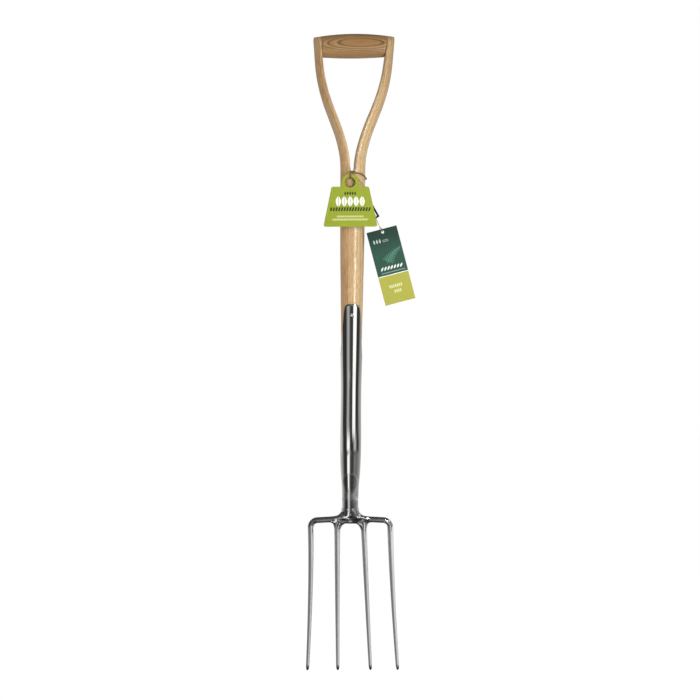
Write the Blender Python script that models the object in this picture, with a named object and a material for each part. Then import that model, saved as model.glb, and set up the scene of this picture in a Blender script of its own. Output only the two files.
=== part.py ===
"""Border fork: an ash wishbone handle, a long strapped socket and a four tined steel head, with its tags.

Metres, +Z up.  The origin is the underside of the hand grip, where the fork hangs on a hook.  The
handle's axis is the Z axis and the front, which carries the tags, faces -Y.
"""

import math

import bmesh
import bpy
import numpy as np
from mathutils import Matrix, Vector

# Clearance between pieces that seat on each other
FIT_GAP = 0.0003
# How far a cutter starts outside the face that it cuts
CUT_REACH = 0.004

# Hand grip: a barrel about X whose underside touches z = 0
GRIP_RADIUS = 0.0186
GRIP_END_LOSS = 0.0024
GRIP_TILT = math.radians(1.1)
GRIP_SAG = 0.0007
GRIP_HALF_LENGTH = 0.047

# Wishbone: outer half width goes from the throat's radius to the throat's radius plus the spread
THROAT_RADIUS = 0.01875
THROAT_DROP = 0.1715
ARM_SPREAD = 0.0423
ARM_HEIGHT = 0.197
ARM_THICKNESS = 0.0154
SPLIT_OFFSET = -0.0014
SPLIT_OFFSET_FADE_POWER = 3
CROTCH_EASE = 0.0022
CROTCH_EASE_RISE = 0.020
# Share of the arm's height, share of the spread, share of the arm's thickness
ARM_STATIONS = (
    (0.0000, 0.0000, THROAT_RADIUS / ARM_THICKNESS),
    (0.0076, 0.0003, 1.114),
    (0.0223, 0.0012, 1.052),
    (0.0528, 0.0047, 1.000),
    (0.0832, 0.0120, 1.004),
    (0.1442, 0.0520, 1.003),
    (0.2663, 0.1910, 1.003),
    (0.3875, 0.4000, 1.037),
    (0.5096, 0.6160, 1.003),
    (0.6317, 0.7870, 0.932),
    (0.7538, 0.8980, 0.868),
    (0.8749, 0.9540, 0.812),
    (1.0000, 1.0000, 0.788),
)
# Rises of the rings just above the crotch
CROTCH_RISES = (0.0015, 0.0044, 0.0104, 0.0164, 0.0284)
# Drop below the grip's underside as a share of the throat's drop, and half depth of the arms
ARM_TOP_HALF_DEPTH = 0.0146
ARM_DEPTH_STATIONS = ((0.0, 0.0), (0.294, 0.289), (0.588, 0.651), (1.0, 1.0))
ARM_RINGS = 11
ARM_ARC_POINTS = 11
ARM_ARC_MARGIN = math.radians(7)
ARM_CORNER_LOSS = 0.10

# Shaft between the throat and the socket: share of the length, share of the radius step
SHAFT_LENGTH = 0.197
SHAFT_STATIONS = ((0.0, 1.0), (0.473, 0.767), (0.653, 0.558), (0.833, 0.233), (0.953, 0.07), (1.0, 0.0))
SHAFT_RINGS = 10
SHAFT_SEAT_LENGTH = 0.230
SHAFT_SEAT_RINGS = 5

# Socket: a steel tube with a strap at the front and one at the back
SOCKET_LENGTH = 0.3056
SOCKET_TOP_RADIUS = 0.0181
SOCKET_END_RADIUS = 0.01225
SOCKET_WALL = 0.0012
RIM_DROP = 0.0776
RIM_SHARPNESS = 0.65
RIM_POWER = 5
SOCKET_STATIONS = (
    (0.000, 1.000),
    (0.252, 0.726),
    (0.425, 0.521),
    (0.481, 0.521),
    (0.834, 0.342),
    (0.893, 0.085),
    (0.991, 0.000),
    (1.000, 0.000),
)
SOCKET_COLUMNS = 36
STRAP_ROWS = 5
TUBE_ROWS = 9

# Steel rod through the arms and the grip, burred over a rove at each end
PIN_RADIUS = 0.003
PIN_HEAD_RADIUS = 0.0042
PIN_HEAD_HEIGHT = 0.0010
ROVE_RADIUS = 0.0055
ROVE_THICKNESS = 0.0010
ROVE_SEAT_INSET = 0.0032

# Countersunk screws through the straps
SCREW_HEAD_RADIUS = 0.0036
# Shares of the head's radius at its flat top and at its eased edge, then the shank's point
SCREW_TOP_SHARE = 0.72
SCREW_EDGE_SHARE = 0.95
SCREW_POINT_LENGTH = 0.004
SCREW_POINT_SHARE = 0.1
SCREW_SHANK_RADIUS = 0.002
SCREW_LENGTH = 0.016
SCREW_PROUD = 0.0006
SCREW_CONE = 0.002
SCREW_RECESS = 0.0010
# Shares of the head's radius that the crossed slots reach and are half as wide as
SCREW_CROSS_REACH = 0.62
SCREW_CROSS_HALF_WIDTH = 0.13
FRONT_SCREW_DROP = 0.0165
REAR_SCREW_DROP = 0.040

# Head: how far it lifts forward and leans, as functions of the drop below the socket's end, and its tilt
HEAD_LIFT = 0.10
HEAD_LIFT_GROWTH = 0.43
HEAD_LEAN = math.radians(1.3)
HEAD_TILT = math.radians(0.5)

# Crown: drop below its top face, half width, half depth
SPIGOT_LENGTH = 0.0156
CROWN_SECTIONS = (
    (0.0027, 0.0122, 0.0122),
    (0.0051, 0.0133, 0.0116),
    (0.0081, 0.0159, 0.0104),
    (0.0106, 0.0195, 0.0090),
    (0.0126, 0.0255, 0.0070),
    (0.0151, 0.0285, 0.0054),
    (0.0181, 0.0278, 0.0047),
    (0.0212, 0.0240, 0.0042),
    (0.0230, 0.0130, 0.0032),
)
CROWN_SIDES = 24
# Root of an inner tine: drop below the crown's top face, inner edge, outer edge, share of the half depth
ROOT_SECTIONS = (
    (0.0165, 0.0110, 0.0270, 0.84),
    (0.0206, 0.0082, 0.0286, 0.93),
    (0.0221, 0.0080, 0.0276, 0.98),
    (0.0237, 0.0096, 0.0263, 1.0),
    (0.0255, 0.0118, 0.0255, 1.0),
    (0.0283, 0.0137, 0.0249, 1.0),
    (0.0321, 0.0154, 0.0246, 1.0),
)
ROOT_DROP = 0.0361

# Tines
SHOULDER_DROP = 0.0165
SHOULDER_SLOPE = 0.06
SHOULDER_BEND_X = 0.028
SHOULDER_HALF_LENGTH = 0.030
CORNER_RADIUS = 0.0105
OUTER_TINE_X = 0.0597
OUTER_LEFT_SPLAY = 0.0100
OUTER_RIGHT_SPLAY = 0.0053
INNER_TINE_X = 0.0201
INNER_TINE_SPLAY = 0.0043
SPLAY_POWER = 1.6
TINE_HALF_SIZE = 0.0045
TINE_TAPER = 0.0019
TINE_TAPER_POWER = 0.8
TINE_DROP = 0.2395
TINE_TIP_LENGTH = 0.0091
TINE_TIP_HALF_SIZE = 0.0009
TINE_SIDES = 12
TINE_SECTION_POWER = 1.6
TINE_RINGS = 11
CORNER_RINGS = 7

# Tags: thickness, outline and how far their backs stand in front of the throat's front
WEIGHT_TAG_TOP_WIDTH = 0.0560
WEIGHT_TAG_BOTTOM_WIDTH = 0.0814
WEIGHT_TAG_HEIGHT = 0.0600
WEIGHT_TAG_THICKNESS = 0.0008
WEIGHT_TAG_CORNER = 0.0028
WEIGHT_TAG_TURN = math.radians(0.8)
WEIGHT_TAG_STANDOFF = 0.0041
WEIGHT_RING_RADIUS = 0.0129
WEIGHT_RING_HOLE = 0.0070
WEIGHT_RING_STEPS = 26
WEIGHT_RING_RISE = 0.0064
WEIGHT_HANG = (-0.0046, -0.18105)
WEIGHT_HANG_ABOVE_HOLE = 0.00536

LABEL_WIDTH = 0.015
LABEL_LENGTH = 0.048
LABEL_THICKNESS = 0.0005
LABEL_STANDOFF = 0.0016
LABEL_TURN = math.radians(30.5)
LABEL_HOLE = (0.0108, -0.2027)
LABEL_HOLE_RADIUS = 0.0008
LABEL_HOLE_INSET = 0.0039

SWING_TAG_WIDTH = 0.0464
SWING_TAG_LENGTH = 0.1127
SWING_TAG_THICKNESS = 0.0006
SWING_TAG_STANDOFF = 0.00055
SWING_TAG_TURN = math.radians(15.2)
SWING_TAG_HOLE = (0.0444, -0.26025)
SWING_TAG_HOLE_RADIUS = 0.0022
SWING_TAG_HOLE_INSET = 0.0047
SWING_TAG_HOLE_OFFSET = 0.0007
CARD_CORNER = 0.0006
PIVOT_DISPLAY_SIZE = 0.01

# Cords and threads, with the points that each one runs through
CORD_DIAMETER = 0.0020
THREAD_DIAMETER = 0.0007
# Steps along a cord in diameters
THROAT_CORD_STEP = 1.2
BIGHT_STEP = 0.6
LABEL_THREAD_STEP = 2.4
TAG_THREAD_STEP = 3.0
LOOP_STEP = 1.0
CORD_KNOT = (-0.00385, -0.0232, -0.1704)
CORD_KNOT_SIZE = (0.0029, 0.0023, 0.0017)
LABEL_KNOT_SIZE = (0.0012, 0.00065, 0.0012)
THREAD_KNOT = (0.0406, -0.0212, -0.2545)
THREAD_KNOT_RADIUS = 0.0013
THROAT_CORD_ROUTE = (
    (-0.0006, -0.0232, -0.1704),
    (0.0009, -0.0230, -0.1706),
    (0.0030, -0.0218, -0.1715),
    (0.0064, -0.0197, -0.1726),
    (0.0108, -0.0172, -0.1732),
    (0.0150, -0.0137, -0.1751),
    (0.0183, -0.0088, -0.1779),
    (0.0203, 0.0000, -0.1802),
    (0.0172, 0.0108, -0.1807),
    (0.0108, 0.0172, -0.1785),
    (0.0050, 0.0199, -0.1741),
    (0.0016, 0.0207, -0.1714),
    (-0.0008, 0.0203, -0.1699),
    (-0.0014, 0.0180, -0.1696),
    (-0.0014, 0.0100, -0.1696),
    (-0.0014, 0.0000, -0.1696),
    (-0.0014, -0.0100, -0.1696),
    (-0.0014, -0.0160, -0.1696),
    (-0.0014, -0.0197, -0.1696),
)
CORD_BIGHT_ROUTE = (
    (-0.0046, -0.0215, -0.1724),
    (-0.0046, -0.0215, -0.1757),
    (-0.0046, -0.0215, -0.1791),
    (-0.0046, -0.02201, -0.18054),
    (-0.0046, -0.02325, -0.18105),
    (-0.0046, -0.02449, -0.18054),
    (-0.0046, -0.0250, -0.1791),
    (-0.0046, -0.0250, -0.1757),
    (-0.0046, -0.0249, -0.1721),
)
LABEL_THREAD_ROUTE = (
    (-0.0027, -0.0219, -0.1720),
    (-0.0024, -0.0213, -0.1747),
    (-0.0008, -0.0202, -0.1787),
    (0.0020, -0.0198, -0.1845),
    (0.0060, -0.0197, -0.1925),
    (0.0092, -0.0197, -0.1985),
    (0.0106, -0.0197, -0.2015),
    (0.0108, -0.0202, -0.2026),
    (0.0108, -0.02085, -0.2027),
)
TAG_THREAD_ROUTE = (
    (-0.0014, -0.0221, -0.1715),
    (0.0000, -0.0216, -0.1730),
    (0.0030, -0.0206, -0.1763),
    (0.0086, -0.0198, -0.1825),
    (0.0155, -0.0195, -0.19215),
    (0.0220, -0.0195, -0.2080),
    (0.0288, -0.0195, -0.2255),
    (0.0350, -0.0196, -0.24135),
    (0.0384, -0.0203, -0.2495),
    (0.0400, -0.0209, -0.2530),
)
TAG_LOOP_ROUTE = (
    (0.0409, -0.0210, -0.25606),
    (0.0416, -0.0206, -0.2574),
    (0.0432, -0.02055, -0.2593),
    (0.0443, -0.0202, -0.2601),
    (0.0444, -0.0196, -0.2602),
    (0.0445, -0.0190, -0.2599),
    (0.0443, -0.01865, -0.2585),
    (0.0437, -0.01865, -0.2565),
    (0.0432, -0.0189, -0.2550),
    (0.0429, -0.0195, -0.2544),
    (0.0426, -0.0202, -0.25425),
    (0.0422, -0.0207, -0.2543),
)

# Places worked out from the sizes above
GRIP_AXIS_Z = GRIP_RADIUS
THROAT_Z = -THROAT_DROP
SOCKET_TOP_Z = THROAT_Z - SHAFT_LENGTH
SOCKET_END_Z = SOCKET_TOP_Z - SOCKET_LENGTH
CROWN_TOP_Z = SOCKET_END_Z - FIT_GAP
TIP_Z = CROWN_TOP_Z - TINE_DROP
ROUND_SIDES = 20


def look(name, colour, roughness, metallic=0.0):
    """A Principled material of one colour."""
    material = bpy.data.materials.new(name)
    material.use_nodes = True
    shader = material.node_tree.nodes["Principled BSDF"]
    shader.inputs["Base Color"].default_value = (*colour, 1.0)
    shader.inputs["Roughness"].default_value = roughness
    shader.inputs["Metallic"].default_value = metallic
    material.diffuse_color = (*colour, 1.0)
    return material


def add_mesh(name, mesh_data, material=None):
    """An object for a finished bmesh, with its faces turned outward."""
    bmesh.ops.recalc_face_normals(mesh_data, faces=mesh_data.faces)
    mesh = bpy.data.meshes.new(name)
    mesh_data.to_mesh(mesh)
    mesh_data.free()
    mesh.shade_smooth()
    mesh.set_sharp_from_angle(angle=math.radians(35))
    if material:
        mesh.materials.append(material)
    piece = bpy.data.objects.new(name, mesh)
    bpy.context.collection.objects.link(piece)
    return piece


def boolean(target, tool, operation="DIFFERENCE", solver="EXACT"):
    """Joins a tool to the target or cuts the target with it, and leaves the tool out of the model."""
    tool.hide_render = True
    tool.display_type = "WIRE"
    modifier = target.modifiers.new(f"{operation.lower()} {tool.name}", "BOOLEAN")
    modifier.operation = operation
    modifier.solver = solver
    modifier.object = tool


def smooth(stations, place):
    """The value at a place on a smooth curve through stations of (place, value)."""
    places = [station[0] for station in stations]
    values = [station[1] for station in stations]
    if place <= places[0]:
        return values[0]
    if place >= places[-1]:
        return values[-1]
    slopes = np.gradient(values, places)
    index = int(np.searchsorted(places, place)) - 1
    width = places[index + 1] - places[index]
    t = (place - places[index]) / width
    start = (2 * t**3 - 3 * t**2 + 1) * values[index] + (t**3 - 2 * t**2 + t) * width * slopes[index]
    end = (3 * t**2 - 2 * t**3) * values[index + 1] + (t**3 - t**2) * width * slopes[index + 1]
    return float(start + end)


def bridge(mesh_data, lower, upper):
    """Four sided faces between two closed rings of corners."""
    for index in range(len(lower)):
        following = (index + 1) % len(lower)
        mesh_data.faces.new((lower[index], lower[following], upper[following], upper[index]))


def loft(name, rings, material=None, closed=False):
    """A solid through rings of points, with flat ends unless the last ring meets the first."""
    mesh_data = bmesh.new()
    corners = [[mesh_data.verts.new(point) for point in ring] for ring in rings]
    for lower, upper in zip(corners, corners[1:]):
        bridge(mesh_data, lower, upper)
    if closed:
        bridge(mesh_data, corners[-1], corners[0])
    else:
        mesh_data.faces.new(corners[0])
        mesh_data.faces.new(corners[-1])
    return add_mesh(name, mesh_data, material)


def turned(name, profile, axis, place, material=None, closed=False, sides=ROUND_SIDES):
    """A profile of (along, radius) turned about the X or Y axis through a place."""
    rings = []
    for along, radius in profile:
        ring = []
        for side in range(sides):
            angle = 2 * math.pi * side / sides
            across, up = radius * math.cos(angle), radius * math.sin(angle)
            offset = Vector((along, across, up)) if axis == "X" else Vector((across, along, up))
            ring.append(Vector(place) + offset)
        rings.append(ring)
    return loft(name, rings, material, closed)


def section(half_width, half_depth, power, sides):
    """Corners of a rounded section: power 2 is an ellipse, and 1 a diamond."""
    corners = []
    for side in range(sides):
        angle = 2 * math.pi * side / sides
        across = math.copysign(abs(math.cos(angle)) ** (2 / power), math.cos(angle))
        deep = math.copysign(abs(math.sin(angle)) ** (2 / power), math.sin(angle))
        corners.append((half_width * across, half_depth * deep))
    return corners


def sweep(name, path, half_sizes, material=None):
    """A rounded section swept along a path of (x, z) in the flat head, then moved with the head."""
    rings = []
    for index, (x, z) in enumerate(path):
        before = Vector(path[max(index - 1, 0)])
        after = Vector(path[min(index + 1, len(path) - 1)])
        tangent = (after - before).normalized()
        size = half_sizes[index]
        outline = section(size, size, TINE_SECTION_POWER, TINE_SIDES)
        rings.append([head_point(x - tangent.y * a, deep, z + tangent.x * a) for a, deep in outline])
    return loft(name, rings, material)


def grip_radius(x):
    """The barrel's radius at a distance from its middle."""
    return GRIP_RADIUS - GRIP_END_LOSS * (x / GRIP_HALF_LENGTH) ** 2


def grip_axis(x):
    """Height of the barrel's middle line: it tilts a little, and its ends are shaped lower."""
    return GRIP_AXIS_Z + x * math.tan(GRIP_TILT) - GRIP_SAG * (x / GRIP_HALF_LENGTH) ** 2


def arm_edges(side, z):
    """Where an arm's inner face and its outermost line lie at a height."""
    share = (z - THROAT_Z) / ARM_HEIGHT
    spreads = [(height, spread) for height, spread, _ in ARM_STATIONS]
    thicknesses = [(height, thickness) for height, _, thickness in ARM_STATIONS]
    straight = spreads[-2][0]
    if share > straight:
        step = (share - straight) / (spreads[-1][0] - straight)
        spread = spreads[-2][1] + step * (spreads[-1][1] - spreads[-2][1])
        thickness = thicknesses[-2][1] + step * (thicknesses[-1][1] - thicknesses[-2][1])
    else:
        spread = smooth(spreads, share)
        thickness = smooth(thicknesses, share)
    outer = THROAT_RADIUS + ARM_SPREAD * spread
    inner = outer - ARM_THICKNESS * thickness
    offset = SPLIT_OFFSET * (1 - min(max(share, 0.0), 1.0) ** SPLIT_OFFSET_FADE_POWER)
    return side * inner + offset, side * outer


def arm_half_depth(z, x):
    """Half of an arm's depth from front to back, which meets the barrel's radius at the grip's axis."""
    share = smooth(ARM_DEPTH_STATIONS, -z / THROAT_DROP)
    depth = ARM_TOP_HALF_DEPTH + (THROAT_RADIUS - ARM_TOP_HALF_DEPTH) * share
    if z <= 0:
        return depth
    blend = min(z / GRIP_AXIS_Z, 1.0)
    return depth + (grip_radius(x) - depth) * blend


def arm_point(side, z, reach, facing, ease=0.0, dome=0.0):
    """A point of an arm: reach 0 is the inner face and 1 the outermost line, facing -1 the front."""
    inner, outer = arm_edges(side, z)
    width = (outer - inner) * (1 - ARM_CORNER_LOSS * max(0.0, (dome - 0.6) / 0.4) ** 2)
    x = inner + width * reach
    if dome:
        radius = grip_radius(x)
        z = grip_axis(x) + dome * radius
        inner, outer = arm_edges(side, z)
        x = inner + width * reach
        return Vector((x, facing * radius * math.sqrt(1 - dome**2), z))
    return Vector((x, facing * (arm_half_depth(z, x) - ease), z))


def arm_ring(side, z, dome=0.0):
    """A ring of an arm: front corner, round outside, back corner, then three points up the flat inside."""
    ease = CROTCH_EASE * min((z - THROAT_Z) / CROTCH_EASE_RISE, 1.0)
    if dome:
        ease *= math.sqrt(1 - dome**2)
    front = arm_point(side, z, 0.0, -1.0, ease, dome)
    back = arm_point(side, z, 0.0, 1.0, ease, dome)
    if dome:
        front.y += ease
        back.y -= ease
    ring = [front]
    for step in range(ARM_ARC_POINTS):
        share = step / (ARM_ARC_POINTS - 1)
        angle = ARM_ARC_MARGIN + (math.pi - 2 * ARM_ARC_MARGIN) * share
        ring.append(arm_point(side, z, math.sin(angle), -math.cos(angle), 0.0, dome))
    ring.append(back)
    ring.extend(back.lerp(front, share) for share in (0.25, 0.5, 0.75))
    return ring


def shaft_radius(z):
    """The wood's radius below the throat: inside the socket it follows the bore."""
    seat = socket_radius(SOCKET_TOP_Z) - SOCKET_WALL - FIT_GAP
    if z <= SOCKET_TOP_Z:
        return socket_radius(z) - SOCKET_WALL - FIT_GAP
    share = smooth(SHAFT_STATIONS, (THROAT_Z - z) / SHAFT_LENGTH)
    return seat + (THROAT_RADIUS - seat) * share


def socket_radius(z):
    """The socket's outer radius at a height."""
    share = smooth(SOCKET_STATIONS, (SOCKET_TOP_Z - z) / SOCKET_LENGTH)
    return SOCKET_END_RADIUS + (SOCKET_TOP_RADIUS - SOCKET_END_RADIUS) * share


def make_wishbone(material):
    """The ash shaft with its two arms."""
    mesh_data = bmesh.new()
    arcs = [
        ARM_ARC_MARGIN + (math.pi - 2 * ARM_ARC_MARGIN) * step / (ARM_ARC_POINTS - 1)
        for step in range(ARM_ARC_POINTS)
    ]

    shaft_heights = [THROAT_Z - SHAFT_LENGTH * ring / SHAFT_RINGS for ring in range(SHAFT_RINGS + 1)]
    shaft_heights += [
        SOCKET_TOP_Z - SHAFT_SEAT_LENGTH * ring / SHAFT_SEAT_RINGS for ring in range(1, SHAFT_SEAT_RINGS + 1)
    ]
    loops = []
    for index, z in enumerate(shaft_heights):
        radius = shaft_radius(z)
        middle = SPLIT_OFFSET * max(0.0, 1 - index / 3)
        points = [Vector((middle, -radius, z))]
        for side in (1, -1):
            for angle in arcs if side > 0 else reversed(arcs):
                x = middle + (side * radius - middle) * math.sin(angle)
                points.append(Vector((x, -radius * math.cos(angle), z)))
            if side > 0:
                points.append(Vector((middle, radius, z)))
        loops.append([mesh_data.verts.new(point) for point in points])
    for lower, upper in zip(loops, loops[1:]):
        bridge(mesh_data, lower, upper)
    mesh_data.faces.new(loops[-1])

    throat = loops[0]
    front, back = throat[0], throat[ARM_ARC_POINTS + 1]
    right_arc = throat[1 : ARM_ARC_POINTS + 1]
    left_arc = throat[:ARM_ARC_POINTS + 1 : -1]
    inside = [mesh_data.verts.new(back.co.lerp(front.co, share)) for share in (0.25, 0.5, 0.75)]
    heights = [THROAT_Z + rise for rise in CROTCH_RISES]
    start = heights[-1]
    heights += [start - start * ring / ARM_RINGS for ring in range(1, ARM_RINGS + 1)]
    heights += [GRIP_AXIS_Z / 2, GRIP_AXIS_Z]
    for side, arc in ((1, right_arc), (-1, left_arc)):
        lower = [front, *arc, back, *inside]
        rings = [arm_ring(side, z) for z in heights]
        for dome in (0.35, 0.6, 0.8, 0.93, 0.985):
            rings.append(arm_ring(side, GRIP_AXIS_Z + dome * grip_radius(GRIP_HALF_LENGTH), dome))
        for ring in rings:
            upper = [mesh_data.verts.new(point) for point in ring]
            bridge(mesh_data, lower, upper)
            lower = upper
        mesh_data.faces.new(lower)
    return add_mesh("wishbone_shaft", mesh_data, material)


def make_grip(material):
    """The barrel, with its ends cut parallel to the arms' inner faces."""
    rings = []
    stations = 12
    for station in range(stations + 1):
        share = station / stations
        left, right = arm_edges(-1, GRIP_AXIS_Z)[0] + FIT_GAP, arm_edges(1, GRIP_AXIS_Z)[0] - FIT_GAP
        middle = left + (right - left) * share
        radius = grip_radius(middle)
        ring = []
        for side in range(28):
            angle = 2 * math.pi * side / 28
            z = grip_axis(middle) + radius * math.sin(angle)
            left, right = arm_edges(-1, max(z, 0))[0] + FIT_GAP, arm_edges(1, max(z, 0))[0] - FIT_GAP
            ring.append(Vector((left + (right - left) * share, radius * math.cos(angle), z)))
        rings.append(ring)
    return loft("hand_grip", rings, material)


def make_pin(shaft, grip, steel):
    """The rod through arms and grip, its roves, and the bores and seats for them."""
    outer = arm_edges(1, GRIP_AXIS_Z)[1]
    seat = outer - ROVE_SEAT_INSET
    inner_face = seat + FIT_GAP
    outer_face = inner_face + ROVE_THICKNESS
    head = outer_face + FIT_GAP
    end = head + PIN_HEAD_HEIGHT
    place = (0, 0, GRIP_AXIS_Z)
    bore = PIN_RADIUS + FIT_GAP
    bore_tool = turned("pin_bore", [(-2 * outer, bore), (2 * outer, bore)], "X", place)
    boolean(shaft, bore_tool)
    boolean(grip, bore_tool)
    shoulder = 0.6 * PIN_HEAD_HEIGHT
    profile = [
        (-end, 0.45 * PIN_HEAD_RADIUS),
        (-head - shoulder, 0.85 * PIN_HEAD_RADIUS),
        (-head, PIN_HEAD_RADIUS),
        (-head, PIN_RADIUS),
        (head, PIN_RADIUS),
        (head, PIN_HEAD_RADIUS),
        (head + shoulder, 0.85 * PIN_HEAD_RADIUS),
        (end, 0.45 * PIN_HEAD_RADIUS),
    ]
    turned("grip_pin", profile, "X", place, steel)
    for side, name in ((-1, "left"), (1, "right")):
        seat_radius = ROVE_RADIUS + FIT_GAP
        seat_profile = [(side * seat, seat_radius), (side * 2 * outer, seat_radius)]
        boolean(shaft, turned(f"rove_seat_{name}", seat_profile, "X", place))
        rove = [
            (side * inner_face, bore),
            (side * inner_face, ROVE_RADIUS),
            (side * outer_face, ROVE_RADIUS),
            (side * outer_face, bore),
        ]
        turned(f"pin_rove_{name}", rove, "X", place, steel, closed=True)


def rim_share(angle):
    """How far the rim has dropped at an angle from the middle of a strap, from 0 to 1."""
    t = abs(math.asin(max(-1.0, min(1.0, math.sin(angle))))) / (math.pi / 2)
    return t**RIM_POWER / (t**RIM_POWER + RIM_SHARPNESS * (1 - t) ** 2)


def make_socket(material):
    """The tube with a strap up the front and the back."""
    even = SOCKET_TOP_Z - 1.08 * RIM_DROP
    wall_rings = {}
    for inset in (0.0, SOCKET_WALL):
        rings = []
        for row in range(STRAP_ROWS + TUBE_ROWS + 1):
            ring = []
            for column in range(SOCKET_COLUMNS):
                angle = 2 * math.pi * column / SOCKET_COLUMNS
                rim = SOCKET_TOP_Z - RIM_DROP * rim_share(angle)
                if row <= STRAP_ROWS:
                    z = rim + (even - rim) * row / STRAP_ROWS
                else:
                    z = even + (SOCKET_END_Z - even) * (row - STRAP_ROWS) / TUBE_ROWS
                radius = socket_radius(z) - inset
                ring.append(Vector((radius * math.sin(angle), -radius * math.cos(angle), z)))
            rings.append(ring)
        wall_rings[inset] = rings
    return loft("socket", wall_rings[0.0] + wall_rings[SOCKET_WALL][::-1], material, closed=True)


def make_screw(name, facing, drop, parts, material):
    """A countersunk screw through a strap, with clearance cut in the pieces that it passes."""
    z = SOCKET_TOP_Z - drop
    face = socket_radius(z) + SCREW_PROUD
    under_head = face - 2 * SCREW_PROUD
    place = (0, 0, z)
    radii = ((face, SCREW_TOP_SHARE), (face - SCREW_PROUD / 2, SCREW_EDGE_SHARE))
    radii += ((face - SCREW_PROUD, 1.0), (under_head, 1.0))
    profile = [(along, SCREW_HEAD_RADIUS * share) for along, share in radii]
    shank_start = under_head - SCREW_CONE
    point_end = face - SCREW_LENGTH
    profile += [(shank_start, SCREW_SHANK_RADIUS), (point_end + SCREW_POINT_LENGTH, SCREW_SHANK_RADIUS)]
    profile += [(point_end, SCREW_POINT_SHARE * SCREW_SHANK_RADIUS)]
    screw = turned(name, [(facing * along, radius) for along, radius in profile], "Y", place, material)
    hole = [
        (face + CUT_REACH, SCREW_HEAD_RADIUS + FIT_GAP),
        (under_head - FIT_GAP, SCREW_HEAD_RADIUS + FIT_GAP),
        (shank_start - FIT_GAP, SCREW_SHANK_RADIUS + FIT_GAP),
        (point_end - FIT_GAP, SCREW_SHANK_RADIUS + FIT_GAP),
    ]
    tool = turned(f"{name}_hole", [(facing * along, radius) for along, radius in hole], "Y", place)
    for part in parts:
        boolean(part, tool)
    arm, slot = SCREW_CROSS_REACH * SCREW_HEAD_RADIUS, SCREW_CROSS_HALF_WIDTH * SCREW_HEAD_RADIUS
    cross = bmesh.new()
    outline = [(slot, slot), (slot, arm), (-slot, arm), (-slot, slot), (-arm, slot), (-arm, -slot)]
    outline += [(-slot, -slot), (-slot, -arm), (slot, -arm), (slot, -slot), (arm, -slot), (arm, slot)]
    top = [cross.verts.new((x, facing * (face + CUT_REACH), z + up)) for x, up in outline]
    floor = [cross.verts.new((x, facing * (face - SCREW_RECESS), z + up)) for x, up in outline]
    bridge(cross, top, floor)
    cross.faces.new(top)
    cross.faces.new(floor)
    boolean(screw, add_mesh(f"{name}_recess", cross))
    return screw


def head_point(x, y, z):
    """A point of the flat head moved to its place: lifted forward below the crown, leaned and tilted."""
    drop = CROWN_TOP_Z - z
    if drop <= 0:
        return Vector((x, y, z))
    lifted = y - (HEAD_LIFT * drop + HEAD_LIFT_GROWTH * drop**2)
    across = x + drop * math.tan(HEAD_LEAN)
    down = drop - x * math.tan(HEAD_TILT)
    return Vector((across, lifted, CROWN_TOP_Z - down))


def shoulder_z(x):
    """Height of the shoulder's middle line at a distance from the fork's axis."""
    return CROWN_TOP_Z - SHOULDER_DROP - SHOULDER_SLOPE * max(0.0, abs(x) - SHOULDER_BEND_X)


def make_crown(material):
    """The yoke: a spigot in the socket, the flare, the shoulder bar and the roots of the inner tines."""
    spigot = SOCKET_END_RADIUS - SOCKET_WALL - FIT_GAP
    sections = [(-SPIGOT_LENGTH, spigot, spigot), (0.0, spigot, spigot)]
    sections += [(0.0, SOCKET_END_RADIUS, SOCKET_END_RADIUS), *CROWN_SECTIONS]
    rings = []
    for drop, half_width, half_depth in sections:
        outline = section(half_width, half_depth, 2, CROWN_SIDES)
        rings.append([head_point(x, y, CROWN_TOP_Z - drop) for x, y in outline])
    crown = loft("crown", rings, material)

    ends = (-SHOULDER_HALF_LENGTH, -SHOULDER_BEND_X, 0.0, SHOULDER_BEND_X, SHOULDER_HALF_LENGTH)
    path = [(x, shoulder_z(x)) for x in ends]
    boolean(crown, sweep("shoulder_bar", path, [TINE_HALF_SIZE] * len(path)), "UNION", "MANIFOLD")
    for side, name in ((-1, "left"), (1, "right")):
        rings = []
        foot = (ROOT_DROP, INNER_TINE_X - TINE_HALF_SIZE, INNER_TINE_X + TINE_HALF_SIZE, 1.0)
        for drop, inner, outer, depth in (*ROOT_SECTIONS, foot):
            middle, half_width = (inner + outer) / 2, (outer - inner) / 2
            outline = section(half_width, depth * TINE_HALF_SIZE, TINE_SECTION_POWER, 16)
            z = CROWN_TOP_Z - drop
            rings.append([head_point(side * middle + x, y, z) for x, y in outline])
        boolean(crown, loft(f"tine_root_{name}", rings), "UNION", "MANIFOLD")
    return crown


def tine_half_size(z):
    """Half of a tine's width at a height: tapering, then drawn to a blunt tip."""
    start = CROWN_TOP_Z - ROOT_DROP
    share = max(0.0, (start - z) / (start - TIP_Z))
    size = TINE_HALF_SIZE - TINE_TAPER * share**TINE_TAPER_POWER
    into_tip = (TIP_Z + TINE_TIP_LENGTH - z) / TINE_TIP_LENGTH
    if into_tip <= 0:
        return size
    return TINE_TIP_HALF_SIZE + (size - TINE_TIP_HALF_SIZE) * (1 - into_tip**1.6)


def tine_x(foot_x, splay, power, z):
    """Distance of a tine's middle line from the fork's axis at a height."""
    start = CROWN_TOP_Z - ROOT_DROP
    share = max(0.0, (start - z) / (start - TIP_Z))
    return foot_x + splay * share**power


def tine_heights(start_z):
    """Heights of a tine's rings, closer together at the tip."""
    tip_start = TIP_Z + TINE_TIP_LENGTH
    heights = [start_z + (tip_start - start_z) * ring / TINE_RINGS for ring in range(TINE_RINGS + 1)]
    return heights + [tip_start - TINE_TIP_LENGTH * share for share in (0.4, 0.72, 0.9, 1.0)]


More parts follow.
